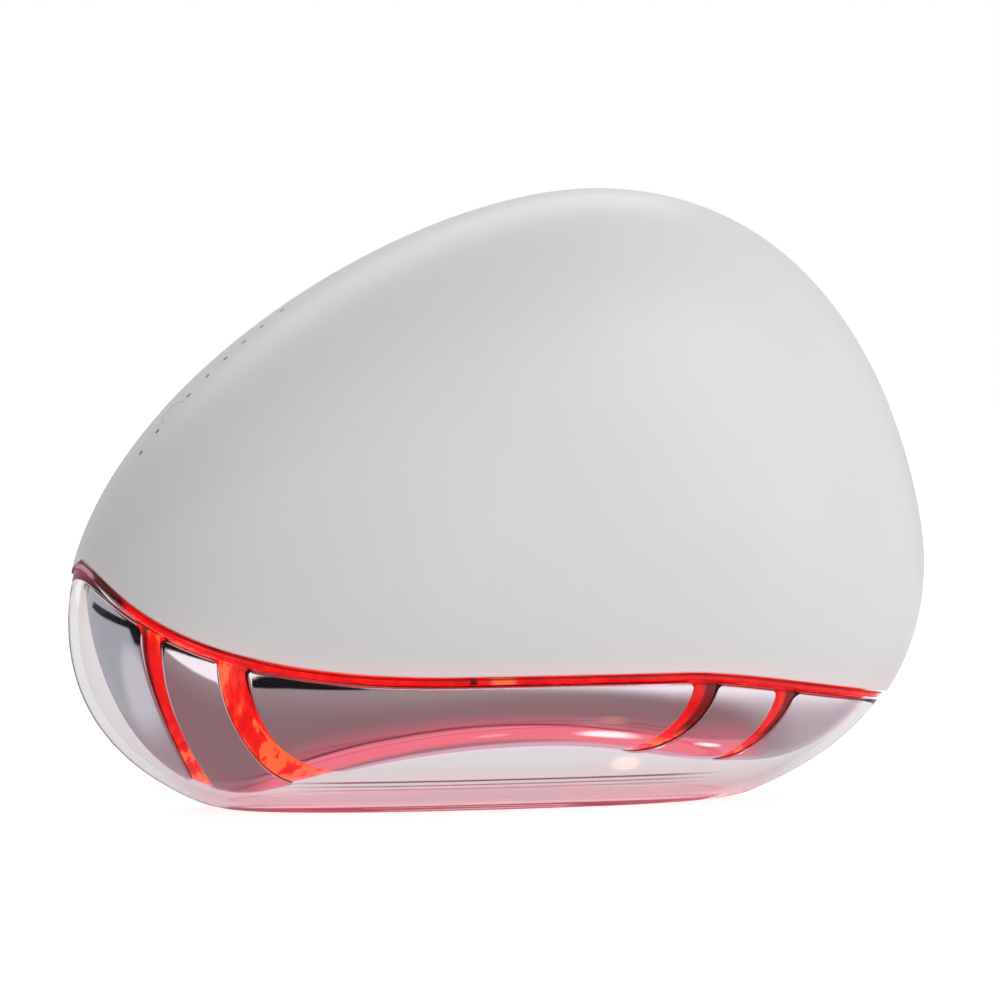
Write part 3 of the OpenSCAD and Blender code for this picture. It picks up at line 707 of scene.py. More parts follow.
def make_half(name, parting, mirror, node):
    grid = half_grid(parting)
    grid[..., 1] *= mirror
    shape = grid.reshape(-1, 3), grid_faces(*grid.shape[:2], False, True)
    return add_piece(name, shape, PEARL, BODY_OF_DEVICE, (node,))


front_half = make_half("front_housing", PARTING, 1, "front_shell")
rear_half = make_half("rear_housing", -PARTING, -1, "rear_shell")

# %% [markdown]
# ## Openings in the housing
#
# The row of tiny lights, the two push buttons and the charging port go through the wall at the
# upper left rim and at the right tip. Each opening is cut with a closed cutter that stands on the
# rim's own frame: x along the rim, y across it and z outwards.

# %% Rim frame and cutters
ROW_START = 172.7
POWER_ANGLE, MODE_ANGLE, PORT_ANGLE = 134.6, 165.8, 1.5
PIP_ANGLES = (172.7, 169.15, 162.5, 158.4, 154.4, 150.2, 146, 141.1, 128)
POWER_D, MODE_D, PIP_D, BUTTON_GAP = 5.6, 3.4, 0.6, 0.03
SOCKET_W, SOCKET_H = 8.94, 3.16
ON_SKIN, FACES_OUT = 0.0008, 0.9  # what counts as lying on the skin and as facing its way


def row_y(degrees):
    """Depth of the row at that outline angle: -2.95 + 3.8 ((172.7 - a) / 44.7)^2.2."""
    return -2.95 + 3.8 * (max(0.0, ROW_START - degrees) / 44.7) ** 2.2


def rim_frame(degrees, depth):
    """Corner and three axes of the rim's frame at that angle and depth."""
    def at(a, y):
        tilt = np.arccos(-y / HALF_T)
        return skin(np.radians(a), tilt)

    along = at(degrees - 1, depth) - at(degrees + 1, depth)
    along /= np.linalg.norm(along)
    out = np.cross(along, at(degrees, depth + 0.5) - at(degrees, depth - 0.5))
    out /= np.linalg.norm(out)
    return at(degrees, depth), np.stack((along, np.cross(out, along), out))


def turned(profile, place, n=48):
    """Profile of (radius, height) points turned round the frame's z axis."""
    corner, axes = place
    radius, height = np.asarray(profile, float).T[..., None]
    turn = around(n)
    local = np.stack((radius * np.cos(turn), radius * np.sin(turn),
                      height * np.ones_like(turn)), -1)
    return corner + local @ axes


def stadium(width, height, z, place, n=64):
    """Loops with straight sides and round ends: width across the rim, height along it."""
    corner, axes = place
    turn = around(n)
    width, height, z = (np.asarray(v, float)[:, None] for v in (width, height, z))
    x = height / 2 * np.cos(turn)
    y = height / 2 * np.sin(turn) + np.where(np.sin(turn) >= 0, 1, -1) * (width - height) / 2
    return corner + np.stack((x, y, z * np.ones_like(turn)), -1) @ axes


def cut(piece, cutters):
    """Takes the cutters out of the piece."""
    tool = bpy.data.objects.new("cutters", bpy.data.meshes.new("cutters"))
    scene.collection.objects.link(tool)
    work = bmesh.new()
    for cutter in cutters:
        work.from_mesh(cutter.data)
        bpy.data.objects.remove(cutter)
    work.to_mesh(tool.data)
    work.free()
    carve = piece.modifiers.new("carve", "BOOLEAN")
    carve.object, carve.operation, carve.solver = tool, "DIFFERENCE", "EXACT"
    evaluated = piece.evaluated_get(bpy.context.evaluated_depsgraph_get())
    mesh = bpy.data.meshes.new_from_object(evaluated)
    piece.modifiers.clear()
    old, piece.data = piece.data, mesh
    bpy.data.meshes.remove(old)
    bpy.data.objects.remove(tool)
    print(piece.name, "cut to", len(mesh.polygons), "faces,", count_open(mesh), "open edges")


def smooth_skin(piece):
    """Corners that lie on the pebble's skin take its exact normal, the rest keep their own."""
    mesh = piece.data
    mesh.set_sharp_from_angle(angle=SMOOTH_ANGLE_CUT)
    place = numbers(mesh.vertices, "co", 3) / MM
    exact = skin_normal(place)
    on_skin = np.abs(skin_value(place) - 1) < ON_SKIN
    corner = numbers(mesh.loops, "vertex_index")
    normals = numbers(mesh.corner_normals, "vector", 3)
    flat = np.repeat(numbers(mesh.polygons, "normal", 3), numbers(mesh.polygons, "loop_total"),
                     axis=0)
    take = on_skin[corner] & ((flat * exact[corner]).sum(1) > FACES_OUT)
    normals[take] = exact[corner[take]]
    mesh.normals_split_custom_set(normals.tolist())
    print(piece.name, int(take.sum()), "of", len(take), "corners on the skin")


def make_cutter(loops):
    """A tube that rides on no body, since cut uses it up."""
    return add_piece("cutter", tube(loops), PEARL, "")


def hole(diameter, place, lead=0.02, depth=5.0):
    """Cutter for a round hole whose mouth widens by lead."""
    r = diameter / 2
    return make_cutter(turned([(r, -depth), (r, -lead), (r + lead, 0.02), (r + lead, 3)], place))


def spot(degrees):
    return rim_frame(degrees, row_y(degrees))


port = rim_frame(PORT_ANGLE, 0.0)
slot_w, slot_h = SOCKET_W + 0.6, SOCKET_H + 0.6


def port_cutter():
    grow = np.array((0, 0, 0.25, 0.6))
    return make_cutter(stadium(slot_w + grow, slot_h + grow, (-4, -0.35, -0.02, 2), port))


cut(front_half, [hole(POWER_D, spot(POWER_ANGLE)), hole(MODE_D, spot(MODE_ANGLE)), port_cutter(),
                 *[hole(PIP_D + 0.06, spot(a)) for a in PIP_ANGLES]])
cut(rear_half, [port_cutter()])


def mark_near_glow(piece, fade=4.5, strongest=0.5):
    """Carries at each vertex how near the glowing edge lies, for the painted red glow: falls off
    over fade millimetres.
    """
    x, _, z = numbers(piece.data.vertices, "co", 3).T / MM
    above = np.clip((z - edge_z(x)) / fade, 0, 1)
    weaker_left = np.interp(x, (-46, -26), (0.3, 1))
    mark(piece.data, "near_glow", strongest * (1 - above)**2.5 * weaker_left)


for half in (front_half, rear_half):
    smooth_skin(half)
    mark_near_glow(half)

# %% [markdown]
# ## Buttons and light pips
#
# Both buttons are turned caps in the housing's paint, flush with the rim, with a flange inside
# that keeps them from falling out. The nine pips are the ends of light pipes, smoke-dark while
# their lamps are off.

# %% Buttons and pips
FLANGE_TOP, FLANGE_T, STEM_END, BEVEL = -2.7, 0.7, -4.0, 0.06


def settle_on_skin(points, place, reach_down=0.5):
    """Moves points near the rim along the frame's z so that height 0 lies on the pebble's skin."""
    out = place[1][2]
    height = (points - place[0]) @ out
    base = points - height[..., None] * out
    lift = np.zeros_like(height)
    for _ in range(12):
        here = base + lift[..., None] * out
        slope = (skin_value(here + 0.02 * out) - skin_value(here - 0.02 * out)) / 0.04
        lift = lift - (skin_value(here) - 1) / slope
    share = np.clip(1 + height / reach_down, 0, 1)
    return points + (lift * share)[..., None] * out


def button_cap(name, diameter, degrees, node):
    """Turned cap: stem, flange, straight skirt, small bevel and a top that follows the skin."""
    r = diameter / 2 - BUTTON_GAP
    crown = [((r - BEVEL) * s, -0.012) for s in np.linspace(1, 0.04, 10)]
    bevel = [(r - BEVEL + BEVEL * math.sin(a), -0.012 - BEVEL + BEVEL * math.cos(a))
             for a in np.linspace(math.pi / 2, 0.15, 7)]
    profile = [(0.9, STEM_END), (0.9, FLANGE_TOP - FLANGE_T), (r + 0.9, FLANGE_TOP - FLANGE_T),
               (r + 0.9, FLANGE_TOP), (r, FLANGE_TOP), (r, -0.6), *bevel, *crown]
    place = spot(degrees)
    cap = add_piece(name, tube(settle_on_skin(turned(profile, place, 96), place)), PEARL, node,
                    (node,))
    smooth_skin(cap)


button_cap("power_cap", POWER_D, POWER_ANGLE, "power_button")
button_cap("mode_cap", MODE_D, MODE_ANGLE, "mode_button")


def light_pips():
    """Nine thin pipes, each with a domed end just under the rim."""
    r = PIP_D / 2
    dome = [(r * math.cos(a), -0.13 + 0.10 * math.sin(a)) for a in np.linspace(0, 1.5, 6)]
    pipes = [tube(turned([(r, -2.2), *dome], spot(a), 24)) for a in PIP_ANGLES]
    smoke = plain("smoked light pipe", (0.10, 0.095, 0.098), (0.16, 0.15, 0.155), 0.18, 0.0,
                  (2500.0,), Coat_Weight=0.3)
    add_piece("light_pips", joined(pipes), smoke, BODY_OF_DEVICE,
              ("indicator_pips",))


light_pips()

# %% [markdown]
# ## Charging socket
#
# Behind the slot at the right tip sits a drawn steel shell with a black tongue in it. It shows
# only as a dark line from the front, and fully from the side.

# %% Charging socket
TONGUE_W, TONGUE_T = 6.6, 0.7


def socket_shell():
    """Stadium tube with a rolled mouth, closed at the back."""
    steel = plain("drawn steel", (0.42, 0.42, 0.43), (0.60, 0.60, 0.61), 0.22, 0.2,
                  (900.0, 2.0, (1, 8, 1)), Metallic=1.0)
    wall = 0.3
    grow = np.array((0, 0, 0, -0.1, -0.5, -2 * wall, -2 * wall))
    heights = (-8, -7.9, -1.25, -1.12, -1.10, -1.3, -7.4)
    loops = stadium(SOCKET_W + grow, SOCKET_H + grow, heights, port)
    add_piece("socket_shell", tube(loops), steel, BODY_OF_DEVICE, ("charge_socket",))


def socket_tongue():
    """Rounded bar across the socket: a thin stadium that runs from the back to near the mouth."""
    nylon = plain("black nylon", (0.015, 0.015, 0.016), (0.03, 0.03, 0.032), 0.5, 0.0, (1200.0,))
    grow = np.array((0, 0, 0, -0.12, -0.3))
    loops = stadium(TONGUE_W + grow, TONGUE_T + grow, (-7.6, -5, -2.5, -2.35, -2.3), port)
    add_piece("socket_tongue", tube(loops), nylon, BODY_OF_DEVICE)


socket_shell()
socket_tongue()

# %% [markdown]
# ## Dark sealing ring
#
# Between the housing's edge and the head lies a soft black ring. It is a closed section carried
# round on level loops: the loop formula gives the path and four numbers give the section.

# %% Sealing ring
HEAD_INSET, HEAD_END, LEFT_REACH = 2.9, 2.1, 0.35
RING_INSET, RING_DROP, RING_H, RING_ROUND = (0.35, 1.7), 0.15, 0.7, 0.16
AROUND = 420  # points round the pebble


def ring(name, section, finish, replaces, marks=None):
    """A closed section of (lift, inset) points carried round the edge line."""
    rows = [(0, lift, 0, inset) for lift, inset in section]
    return add_piece(name, tube(level_loops(rows, around(AROUND)), True), finish, BODY_OF_DEVICE,
                     replaces, marks)


rubber = plain("black rubber", (0.010, 0.008, 0.009), (0.022, 0.018, 0.020), 0.55, 0.2,
               (3000.0, 2.0), 2e-6)
ring("sealing_ring", [(1.5, 2.25), (0.3, 2.25), (0.12, 2.4), (0.12, 2.9), (1.5, 2.95)],
     rubber, ("head_gasket",))

# %% [markdown]
# ## The head as a formula
#
# The head is a blade between the edge line and its own lower rim, which dips at the heel, rises
# over an arch and dips again at the chin. From edge to rim the half depth shrinks as
# h * sqrt(1 - s^p), like a rounded wedge. The plates lie on it, the grooves lie under it.

# %% Head surface
TIP_DROP, GLOW_H, GROOVE_D, GUIDE_WALL, GUIDE_END = 0.6, 1.1, 1.7, 1.2, 0.9
head_l = float(level_ends(np.zeros((1, 1)), 0, 0, np.full((1, 1), HEAD_END - LEFT_REACH))[0][0, 0])
head_r = float(level_ends(np.zeros((1, 1)), 0, 0, np.full((1, 1), HEAD_END))[1][0, 0])
tip_l = np.array((head_l, edge_z(head_l) - TIP_DROP))
tip_r = np.array((head_r, edge_z(head_r) - TIP_DROP))
HEEL, ARCH, CHIN = map(np.array, ((-30.7, 2.0), (3.3, 6.3), (29.2, 4.2)))
rim_curve = np.vstack((bend(tip_l, tip_l - (-0.1, 8), HEEL - (13.5, 0), HEEL),
                       bend(HEEL, HEEL + (4, 0), ARCH - (19.2, 0), ARCH),
                       bend(ARCH, ARCH + (11, 0), CHIN - (11.1, 0), CHIN),
                       bend(CHIN, CHIN + (5.6, 0), tip_r - (5, 5.3), tip_r)))


def rim_z(x):
    return np.interp(x, rim_curve[:, 0], rim_curve[:, 1])


def head_point(x, s, side, below):
    """Point on the head: y = side h sqrt(1 - s^p), z from the edge (s = 0) to the rim (s = 1),
    moved inwards by below millimetres. p is 2.4 in the middle and less at both ends."""
    end = HEAD_END - LEFT_REACH * np.clip(-x / 40, 0, 1)
    h = np.maximum(half_depth(x, edge_z(x), end, HEAD_INSET), 0.4)
    top, foot = edge_z(x), rim_z(x)
    inwards = below * np.minimum(1, 0.75 * (top - foot) / (GROOVE_D + GUIDE_WALL))
    slope = (rim_z(x + 0.3) - rim_z(x - 0.3)) / 0.6
    size = np.hypot(slope, 1)
    power = 2.4 - 0.6 * np.clip(x / 15 - 1, 0, 1) - 0.35 * np.clip(-x / 15 - 1, 0, 1)
    y = h * np.sqrt(np.clip(1 - np.minimum(s, 1)**power, 0, 1)) * np.maximum(0.15, 1 - below / h)
    return np.stack((x - slope / size * inwards * s, side * y,
                     top - s * (top - foot) + inwards * s / size), -1)


def share_of(x, drop):
    """Share of the head's height that lies drop below the edge, levelling off where it is low."""
    t = drop / np.maximum(0.5, edge_z(x) - rim_z(x))
    return np.where(t < 0.25, t, 0.25 + 0.35 * (1 - np.exp((0.25 - np.maximum(t, 0.25)) / 0.35)))


print("head from", round(head_l, 1), "to", round(head_r, 1), "mm")

# %% [markdown]
# ## Mirror plates
#
# Polished, chromed plates. A plate's rows run from its front top edge round the rim to its back
# top edge, its columns from groove to groove. Near these borders the surface drops on a quarter
# circle, and the corners are rounded off in the plate's own grid.

# %% Plates
GROOVE_TOP, GROOVE_FOOT = (-43.8, -35.6, 19.5, 30.1), (-35.9, -22.0, 13.3, 24.4)
GROOVE_BEND = (3.4, 2.7, 2.0, 1.9)
GROOVE_HALF_TOP, GROOVE_HALF_FOOT = (0.9, 1.45, 1.45, 1.35), (1.35, 3.4, 1.2, 0.8)
GROOVE_FLARE = (2.0, 5.0, 1.0, 1.7)
PLATE_T, PLATE_ROUND, PLATE_TOP_GAP, PLATE_END_GAP = 1.4, 0.25, 0.10, (0.1, 0.6)
CORNER = 1.1


def groove_middle(k, s):
    return GROOVE_TOP[k] + (GROOVE_FOOT[k] - GROOVE_TOP[k]) * s**GROOVE_BEND[k]


def groove_half(k, s):
    return GROOVE_HALF_TOP[k] + (GROOVE_HALF_FOOT[k] - GROOVE_HALF_TOP[k]) * s**GROOVE_FLARE[k]


def plate_sides(k, s):
    """x of a plate's left and right border at share s of the head's height."""
    left = head_l + PLATE_END_GAP[0] if k == 0 else groove_middle(k - 1, s) + groove_half(k - 1, s)
    right = head_r - PLATE_END_GAP[1] if k == 4 else groove_middle(k, s) - groove_half(k, s)
    return left, right


def round_corner(p, q, size):
    """Turns the square corner of a grid of edge distances p, q into a round one."""
    u, v = size - p, size - q
    far = np.maximum(np.hypot(u, v), 1e-9)
    inside = (u > 0) & (v > 0)
    scale = np.maximum(u, v) / far
    return np.where(inside, size - u * scale, p), np.where(inside, size - v * scale, q)


def plate_grid(k, below, across=90, down=44):
    edge = CORNER * np.array((0, 0.03, 0.08, 0.16, 0.27, 0.4, 0.6, 0.8, 1.0))
    fall = np.sin(np.linspace(0, np.pi / 2, down))[1:]
    q = np.concatenate((edge, np.full(2 * down - 3, CORNER), edge[::-1]))[:, None]
    f = np.concatenate((0 * edge, fall, fall[-2::-1], 0 * edge))[:, None]
    side = np.concatenate((-np.ones(len(edge) + down - 1), np.ones(len(edge) + down - 2)))[:, None]
    p = np.concatenate((edge, np.full(across - 1, CORNER), edge[::-1]))[None, :]
    c = np.concatenate((0 * edge, np.arange(1, across) / across, 1 + 0 * edge))[None, :]
    border = (c == 0) & (k > 0) | (c == 1) & (k < 4)  # the tips have no side border
    top = f == 0
    rp, rq = round_corner(p + 0 * q, q + 0 * p, CORNER)
    p, q = np.where(border & top, rp, p), np.where(border & top, rq, q)
    near = np.minimum(np.where(border, p, CORNER), np.where(top, q, CORNER))
    depth = np.maximum(below, round_over(near, PLATE_ROUND))
    drop = GLOW_H + PLATE_TOP_GAP + q
    left, right = plate_sides(k, 0.1)
    s0 = share_of((left + right) / 2, drop)
    left, right = plate_sides(k, s0 + (1 - s0) * f)
    left, right = left + p, right - p
    x = np.where(c == 0, left, np.where(c == 1, right, left + (right - left) * c))
    s = share_of(x, drop)
    return head_point(x, s + (1 - s) * f, side, depth)


def chrome():
    metal = Finish("mirror chrome")
    haze = metal.noise(120.0, 5.0)
    tone = metal.blend(haze, (0.80, 0.80, 0.82), (0.86, 0.86, 0.88))
    # wall: painted shade, a nearly black colour on the plates' walls and backs where they lie in
    # the shade between the plates
    wall = metal.attribute("wall")
    return metal.cover_with(metal.principled(
        Base_Color=metal.blend(wall, tone, (0.02, 0.001, 0.002)), Metallic=1.0,
        Roughness=0.035 + metal.noise(700.0) * 0.03 + wall * 0.5))


CHROME = chrome()


def make_plate(name, k, across, node):
    """Plate k. Its side walls and its back carry the mark wall, which paints them nearly black:
    painted shade between the plates.
    """
    outer, inner = plate_grid(k, 0.0, across), plate_grid(k, PLATE_T, across)
    wall = np.ones((2, *outer.shape[:2]))
    first, end = (0 if k == 0 else 1), (None if k == 4 else -1)  # the tips have no side border
    wall[0, 1:-1, first:end] = 0.0
    return add_piece(name, sheet(outer, inner), CHROME, BODY_OF_DEVICE, (node,),
                     {"wall": wall.ravel()})


for number, (place, columns) in enumerate((("left_end", 60), ("left", 70), ("centre", 150),
                                           ("right", 60), ("right_end", 80))):
    make_plate(place + "_plate", number, columns, place + "_electrode")

# %% [markdown]
# ## Glowing light guide
#
# Behind the plates sits one translucent red moulding, lit from inside, that shows as the floor of
# the four grooves. A ring of the same plastic shows as the thin line under the housing's edge. Red
# light is uneven: orange where a lamp is near, deep red between. Two stretched noises drive the
# colour of the emission.

# %% Light guide
def red_glow(name, band=False, marbled=1.0):
    guide = Finish(name)
    drift = guide.noise(160.0, 3.0, (1.0, 1.0, 0.5))
    marble = guide.noise(420.0, 4.0, (1.6, 1.0, 0.5), 0.6)
    heat = guide.remap(drift * 0.55 + marble * 0.45, 0.36, 0.70, 0.0, marbled)
    heat = heat + guide.attribute("warm") * marble.rise(0.42, 0.60)
    colour = guide.ramp(heat, [(0.0, (0.62, 0.000, 0.001)), (0.40, (0.93, 0.004, 0.003)),
                               (0.75, (1.0, 0.025, 0.010)), (1.0, (1.0, 0.15, 0.045))])
    if band:
        colour = shaded_band(guide, colour)
    colour = guide.blend(guide.attribute("shade"), colour, (0.05, 0.000, 0.001))
    return guide.cover_with(guide.principled(
        Base_Color=(0.10, 0.001, 0.001), Roughness=0.20, Specular_IOR_Level=0.35,
        Emission_Color=colour, Emission_Strength=1.0))


def shaded_band(guide, colour):
    """Colour along the ring under the housing, which follows x: mauve at the left tip, then unlit
    black, then red with one dark tick, an orange streak beside it and a pale right end."""
    x, = guide.millimetres("X")
    return guide.layers(colour, (
        (x.fall(-47.3, -46.5), (0.004, 0.001, 0.001)),
        (window(x, -9.7, -8.9, 0.15), (0.02, 0.0, 0.0)),
        (window(x, -7.2, -4.4, 0.5) * 0.7, (1.0, 0.22, 0.08)),
        (x.fall(-49.5, -49.2), (0.35, 0.16, 0.24)),
        (x.rise(43.0, 44.5), (0.80, 0.45, 0.50))))


RED = red_glow("glowing red guide")


DARK_LINE = 0.24  # the shell's lip shades the top of the ring


def glow_ring():
    """Rounded section under the lip: from the outer top corner down, inwards and back up."""
    (out, inner), top, low = RING_INSET, -RING_DROP, -RING_DROP - RING_H
    r, turns = RING_ROUND, np.linspace(0, np.pi / 2, 6)
    section = [(top - r + r * math.cos(a), out + r - r * math.sin(a)) for a in turns]
    shaded = len(section)
    section += [(top - DARK_LINE, out)]
    section += [(low + r - r * math.sin(a), out + r - r * math.cos(a)) for a in turns]
    section += [(low, inner), (top, inner)]
    shade = np.where(np.arange(len(section)) < shaded, 0.75, 0.0)
    return ring("glow_ring", section, red_glow("glowing red ring", True, 0.6),
                ("light_ring",), {"shade": np.repeat(shade, AROUND)})


glow_ring()


def guide_grid(below_extra, n=360):
    """Rows of the inner head: the proud line, the step down, the groove floor, mirrored behind."""
    fall = np.sin(np.linspace(0, np.pi / 2, 30))
    front = [(0.15, 0, 0.0), (GLOW_H * 0.5, 0, 0.0), (GLOW_H * 0.85, 0, 0.02), (GLOW_H, 0, 0.2),
             (GLOW_H, 0, GROOVE_D)] + [(GLOW_H, f, GROOVE_D) for f in fall[1:]]
    rows = [(*r, -1) for r in front] + [(*r, 1) for r in front[-2::-1]]
    drop, fall, below, side = np.array(rows).T[..., None]
    below = below if below_extra == 0 else np.full_like(below, GROOVE_D + below_extra)
    turn = np.linspace(0, np.pi, n)
    x = (head_l + head_r) / 2 - ((head_r - head_l) / 2 - GUIDE_END) * np.cos(turn)[None, :]
    s = share_of(x, drop)
    return head_point(x + 0 * drop, s + (1 - s) * fall, side, below)


add_piece("light_guide_head", sheet(guide_grid(0.0), guide_grid(GUIDE_WALL)), RED,
          BODY_OF_DEVICE, ("light_guide",))

# %% [markdown]
# The guide stands up between the plates as four ribs, a little under the plates' faces. Their
# colour is uneven too: `shade` darkens the side that lies in the plate's shadow and `warm` adds
# orange where a lamp is near.

# %% Ribs in the grooves
RIB_DEPTH, RIB_GAP, RIB_FOOT = 0.32, 0.10, 0.1


def rib_marks(k, across, s):
    """Shade and warmth at place across (-1 left, 1 right) and share s down groove k."""
    def rise(value, low, high):
        return np.clip((value - low) / (high - low), 0, 1)

    if k == 0:
        return (0.85 * rise(-across, 0.35, 0.6) * rise(-s, -0.85, -0.6),
                0.9 * rise(-s, -0.16, -0.08) + 0.6 * rise(s, 0.55, 0.85))
    if k == 1:
        return np.zeros_like(s), 0.38 + 0.3 * rise(s, 0.6, 0.85)
    return 0.9 * rise(across, -0.1, 0.15) * rise(-s, -0.75, -0.6), 0.35 * rise(s, 0.6, 0.8)


def guide_ribs(columns=16, down=60):
    """Bars between the plates, from under the glowing line round the rim and up the back."""
    fall = np.sin(np.linspace(0, np.pi / 2, down))
    f = np.concatenate((fall, fall[-2::-1]))[:, None]
    side = np.where(np.arange(len(f)) < down, -1, 1)[:, None]
    across = np.linspace(-1, 1, columns)[None, :]
    bars, marks = [], []
    for k in range(4):
        s0 = share_of(groove_middle(k, 0.1), GLOW_H - RIB_FOOT)
        s = s0 + (1 - s0) * f
        x = groove_middle(k, s) + (groove_half(k, s) - RIB_GAP) * across
        start = share_of(x, GLOW_H - RIB_FOOT)
        s = start + (1 - start) * f
        bars.append(sheet(*(head_point(x, s, side, below)
                            for below in (RIB_DEPTH, GROOVE_D + RIB_FOOT))))
        marks.append([np.tile(values.ravel(), 2) for values in rib_marks(k, across, s)])
    shade, warm = (np.concatenate(values) for values in zip(*marks))
    return add_piece("guide_ribs", joined(bars), RED, BODY_OF_DEVICE,
                     marks={"shade": shade, "warm": warm})


guide_ribs()

# %% [markdown]
# ## Clear cover
#
# A thin shell of clear plastic that carries the housing's outline down to a flat base. Loops at
# falling levels make its outer wall, the same loops drawn in make the inner wall, and both rim
# and base edge are rounded. Glass stops lamp light in Cycles, so for shadow rays the material
# turns into a nearly clear Transparent shader. Red light on it is painted: a faint red glow along
# its floor, pink and red tints over the base, and a pink glow on the rim. The fine lines over the
# base are painted reflections, the dark red along the rim's top is painted shade, and the flare
# beside the arch is a painted glow.

# %% Clear cover
# RIM_BAND: how far the rim's painted shade and painted glow reach down; GLOW_RISE: how high the
# floor's painted glow reaches
RIM_BAND, GLOW_RISE = 0.14, 2.5  # how far the rim's tints reach down, the floor's glow up
COVER_WALL, COVER_FLOOR, COVER_INSET, COVER_GAP = 1.2, 1.0, 0.3, 1.1
RIM_ROUND, FLOOR_ROUND, BASE_ROUND, COVER_TALL = 0.12, 0.6, 0.9, 13.5
COVER_IOR = 1.17  # less than acrylic's 1.49: chosen for where the head's edge shows


def cover_loops():
    """Inner floor, inner wall upwards, rim, outer wall down, base, as share, lift, low, inset."""
    steps = np.array((0, 0.05, 0.15, 0.3, 0.5, 0.75, 1.0))
    wall = np.linspace(0, 1, 40)[1:-1]
    rows = []
    for low, inset, sign, base_r in ((COVER_FLOOR, COVER_INSET + COVER_WALL, -1, FLOOR_ROUND),
                                     (0.0, COVER_INSET, 1, BASE_ROUND)):
        rim = [(RIM_ROUND * h / COVER_TALL, inset + sign * round_over(RIM_ROUND * h, RIM_ROUND))
               for h in steps]
        middle = [(RIM_ROUND / COVER_TALL + w * (1 - (RIM_ROUND + base_r) / COVER_TALL), inset)
                  for w in wall]
        foot = [(1 - base_r * h / COVER_TALL, inset + round_over(base_r * h, base_r))
                for h in steps[::-1]]
        rows.append([(share, -COVER_GAP, low, inset) for share, inset in rim + middle + foot])
    return level_loops(rows[0][::-1] + rows[1], around(AROUND))


def plate_rows(loop, shrink):
    """Copies of a flat loop drawn towards its middle."""
    middle = loop.mean(0)
    return np.stack([middle + (loop - middle) * s for s in shrink])


def clear_plastic():
    clear = Finish("clear plastic")
    x, y, z = clear.millimetres("XYZ")
    front = y.fall(-2, 2)
    # painted reflections: three dark lines over the base that stand for the floor's edges seen
    # through it
    painted_reflection_lines = (window(z, 3.76, 3.92, 0.06) + window(z, 3.28, 3.42, 0.06) * 0.75
             + window(z, 2.86, 2.98, 0.06) * 0.6)
    # The plastic's own tint, with painted red light laid over it: pink over the base zone, red on
    # the base's edge and pink on its flat underside
    tint_and_painted_light = clear.layers((0.92, 0.895, 0.905), (
        (z.fall(2.8, 3.4), (0.935, 0.85, 0.868)),  # the zone of the base
        (painted_reflection_lines * window(x, -26, 20, 5) * front, (0.27, 0.05, 0.085)),
        (z.fall(0.05, 0.30), (0.80, 0.30, 0.36)),  # its edge
        (z.fall(0.01, 0.04), (0.94, 0.62, 0.67)),  # its flat underside
        # painted shade: dark red along the rim's top, over the bright line it would show
        (clear.attribute("rim_line"), (0.42, 0.05, 0.065))))
    # painted flare: an orange glow of light beside the arch
    painted_flare = spot_light(x * 0.5, z, (5.1, 5.4), 0.8)
    # Painted glows that stand for red light: along the floor, in the flare and on the rim
    own = clear.layers((0.0, 0.0, 0.0), (
        (clear.attribute("floor_glow"), (0.09, 0.02, 0.028)),
        (painted_flare * front, (0.20, 0.08, 0.05)),
        (clear.attribute("rim_glow"), (0.20, 0.04, 0.065))))
    glass = clear.principled(Base_Color=tint_and_painted_light, Roughness=0.01, IOR=COVER_IOR,
                             Transmission_Weight=1.0, Emission_Color=own, Emission_Strength=1.0)
    open_glass = clear.node("ShaderNodeBsdfTransparent", inputs={"Color": (0.95, 0.90, 0.905, 1)})
    lamp_ray = clear.node("ShaderNodeLightPath", output="Is Shadow Ray")
    return clear.cover_with(clear.node("ShaderNodeMixShader",
                                       inputs={0: lamp_ray, 1: glass, 2: open_glass}))


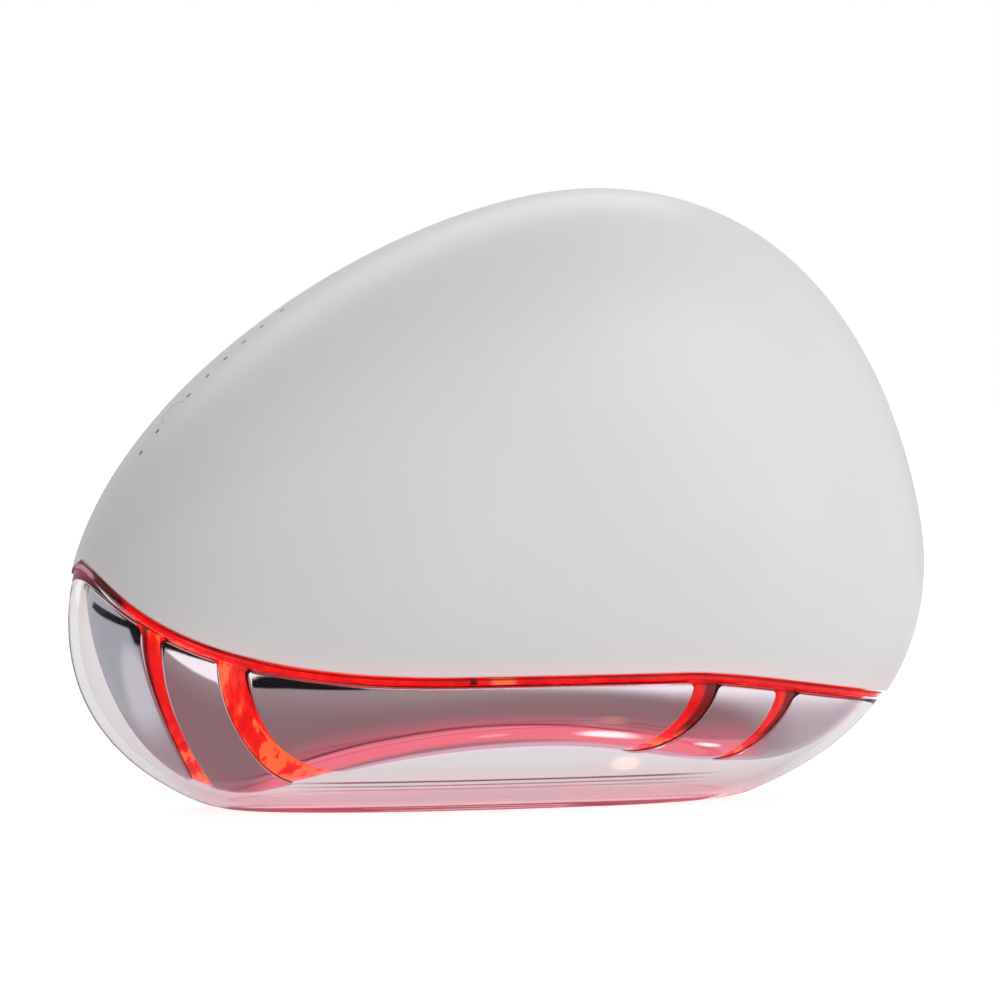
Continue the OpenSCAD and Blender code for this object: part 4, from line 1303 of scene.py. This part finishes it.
def clear_cover():
    loops = cover_loops()
    inwards = np.array((0.25, 0.5, 0.75, 0.93))
    loops = np.concatenate((plate_rows(loops[0], inwards), loops,
                            plate_rows(loops[-1], inwards[::-1])))
    piece = add_piece("cover_body", tube(loops), clear_plastic(), "cover",
                      ("clear_cover",))
    x, _, z = numbers(piece.data.vertices, "co", 3).T / MM
    under_rim = (edge_z(x) - COVER_GAP - z) / RIM_BAND
    # painted red glow along the cover's floor, fading upwards
    mark(piece.data, "floor_glow", np.clip(1 - z / GLOW_RISE, 0, 1)**1.5)
    # painted pink glow on the rim's top, mostly at the left
    mark(piece.data, "rim_glow", np.clip(1 - under_rim, 0, 1)
         * np.interp(x, (-49.4, -48.8, -36, -31), (1, 0.15, 0.5, 0)))
    # painted shade along the rim's top, from the middle to the right
    mark(piece.data, "rim_line", np.clip(1.4 - under_rim, 0, 1)
         * np.interp(x, (-28, -20, 46, 48), (0, 1, 1, 0)))


clear_cover()

# %% [markdown]
# ## Parts inside
#
# The inner parts hardly show, but they are on the model and are seen when it is taken apart.
# They keep their CAD shape and get plain finishes with a fine grain.

# %% Inner parts
dark_nylon = plain("dark nylon", (0.020, 0.020, 0.022), (0.040, 0.040, 0.044), 0.45)
board = plain("green board", (0.010, 0.060, 0.030), (0.020, 0.110, 0.055), 0.35)
metal = plain("plated steel", (0.40, 0.40, 0.41), (0.58, 0.58, 0.60), 0.22, Metallic=1.0)
foil = plain("cell foil", (0.42, 0.44, 0.48), (0.55, 0.57, 0.60), 0.30, Metallic=0.9)
foam = plain("foam pad", (0.020, 0.020, 0.020), (0.050, 0.050, 0.050), 0.80, grain=(4000.0,))
lamp_white = plain("white lamp board", (0.70, 0.70, 0.68), (0.80, 0.80, 0.78), 0.40)
lamps = plain("red lamps", (0.60, 0.10, 0.08), (0.75, 0.16, 0.12), 0.30, grain=(800.0,),
              Emission_Color=(1.0, 0.05, 0.03), Emission_Strength=2.0)
gold = plain("gold pins", (0.70, 0.45, 0.16), (0.85, 0.60, 0.26), 0.20, Metallic=1.0)

INNER = {
    dark_nylon: ("head_ring", "chassis", "power_switch", "mode_switch"),
    board: ("main_board", "button_boards", "charge_board"),
    metal: ("chassis_screws", "vibration_motor", "motor_shaft", "motor_weight"),
    foil: ("battery",), foam: ("battery_pad",), lamp_white: ("led_board",),
    lamps: ("red_leds",), gold: ("contact_pins",)}
for finish, names in INNER.items():
    for name in names:
        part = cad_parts[name]
        for slot in part.material_slots:
            slot.material = finish
print("inner parts", sum(map(len, INNER.values())))

# %% [markdown]
# ## Last settings
#
# Standard view transform, so that a colour shows as it is written.

# %% Finish
scene.view_settings.view_transform = "Standard"
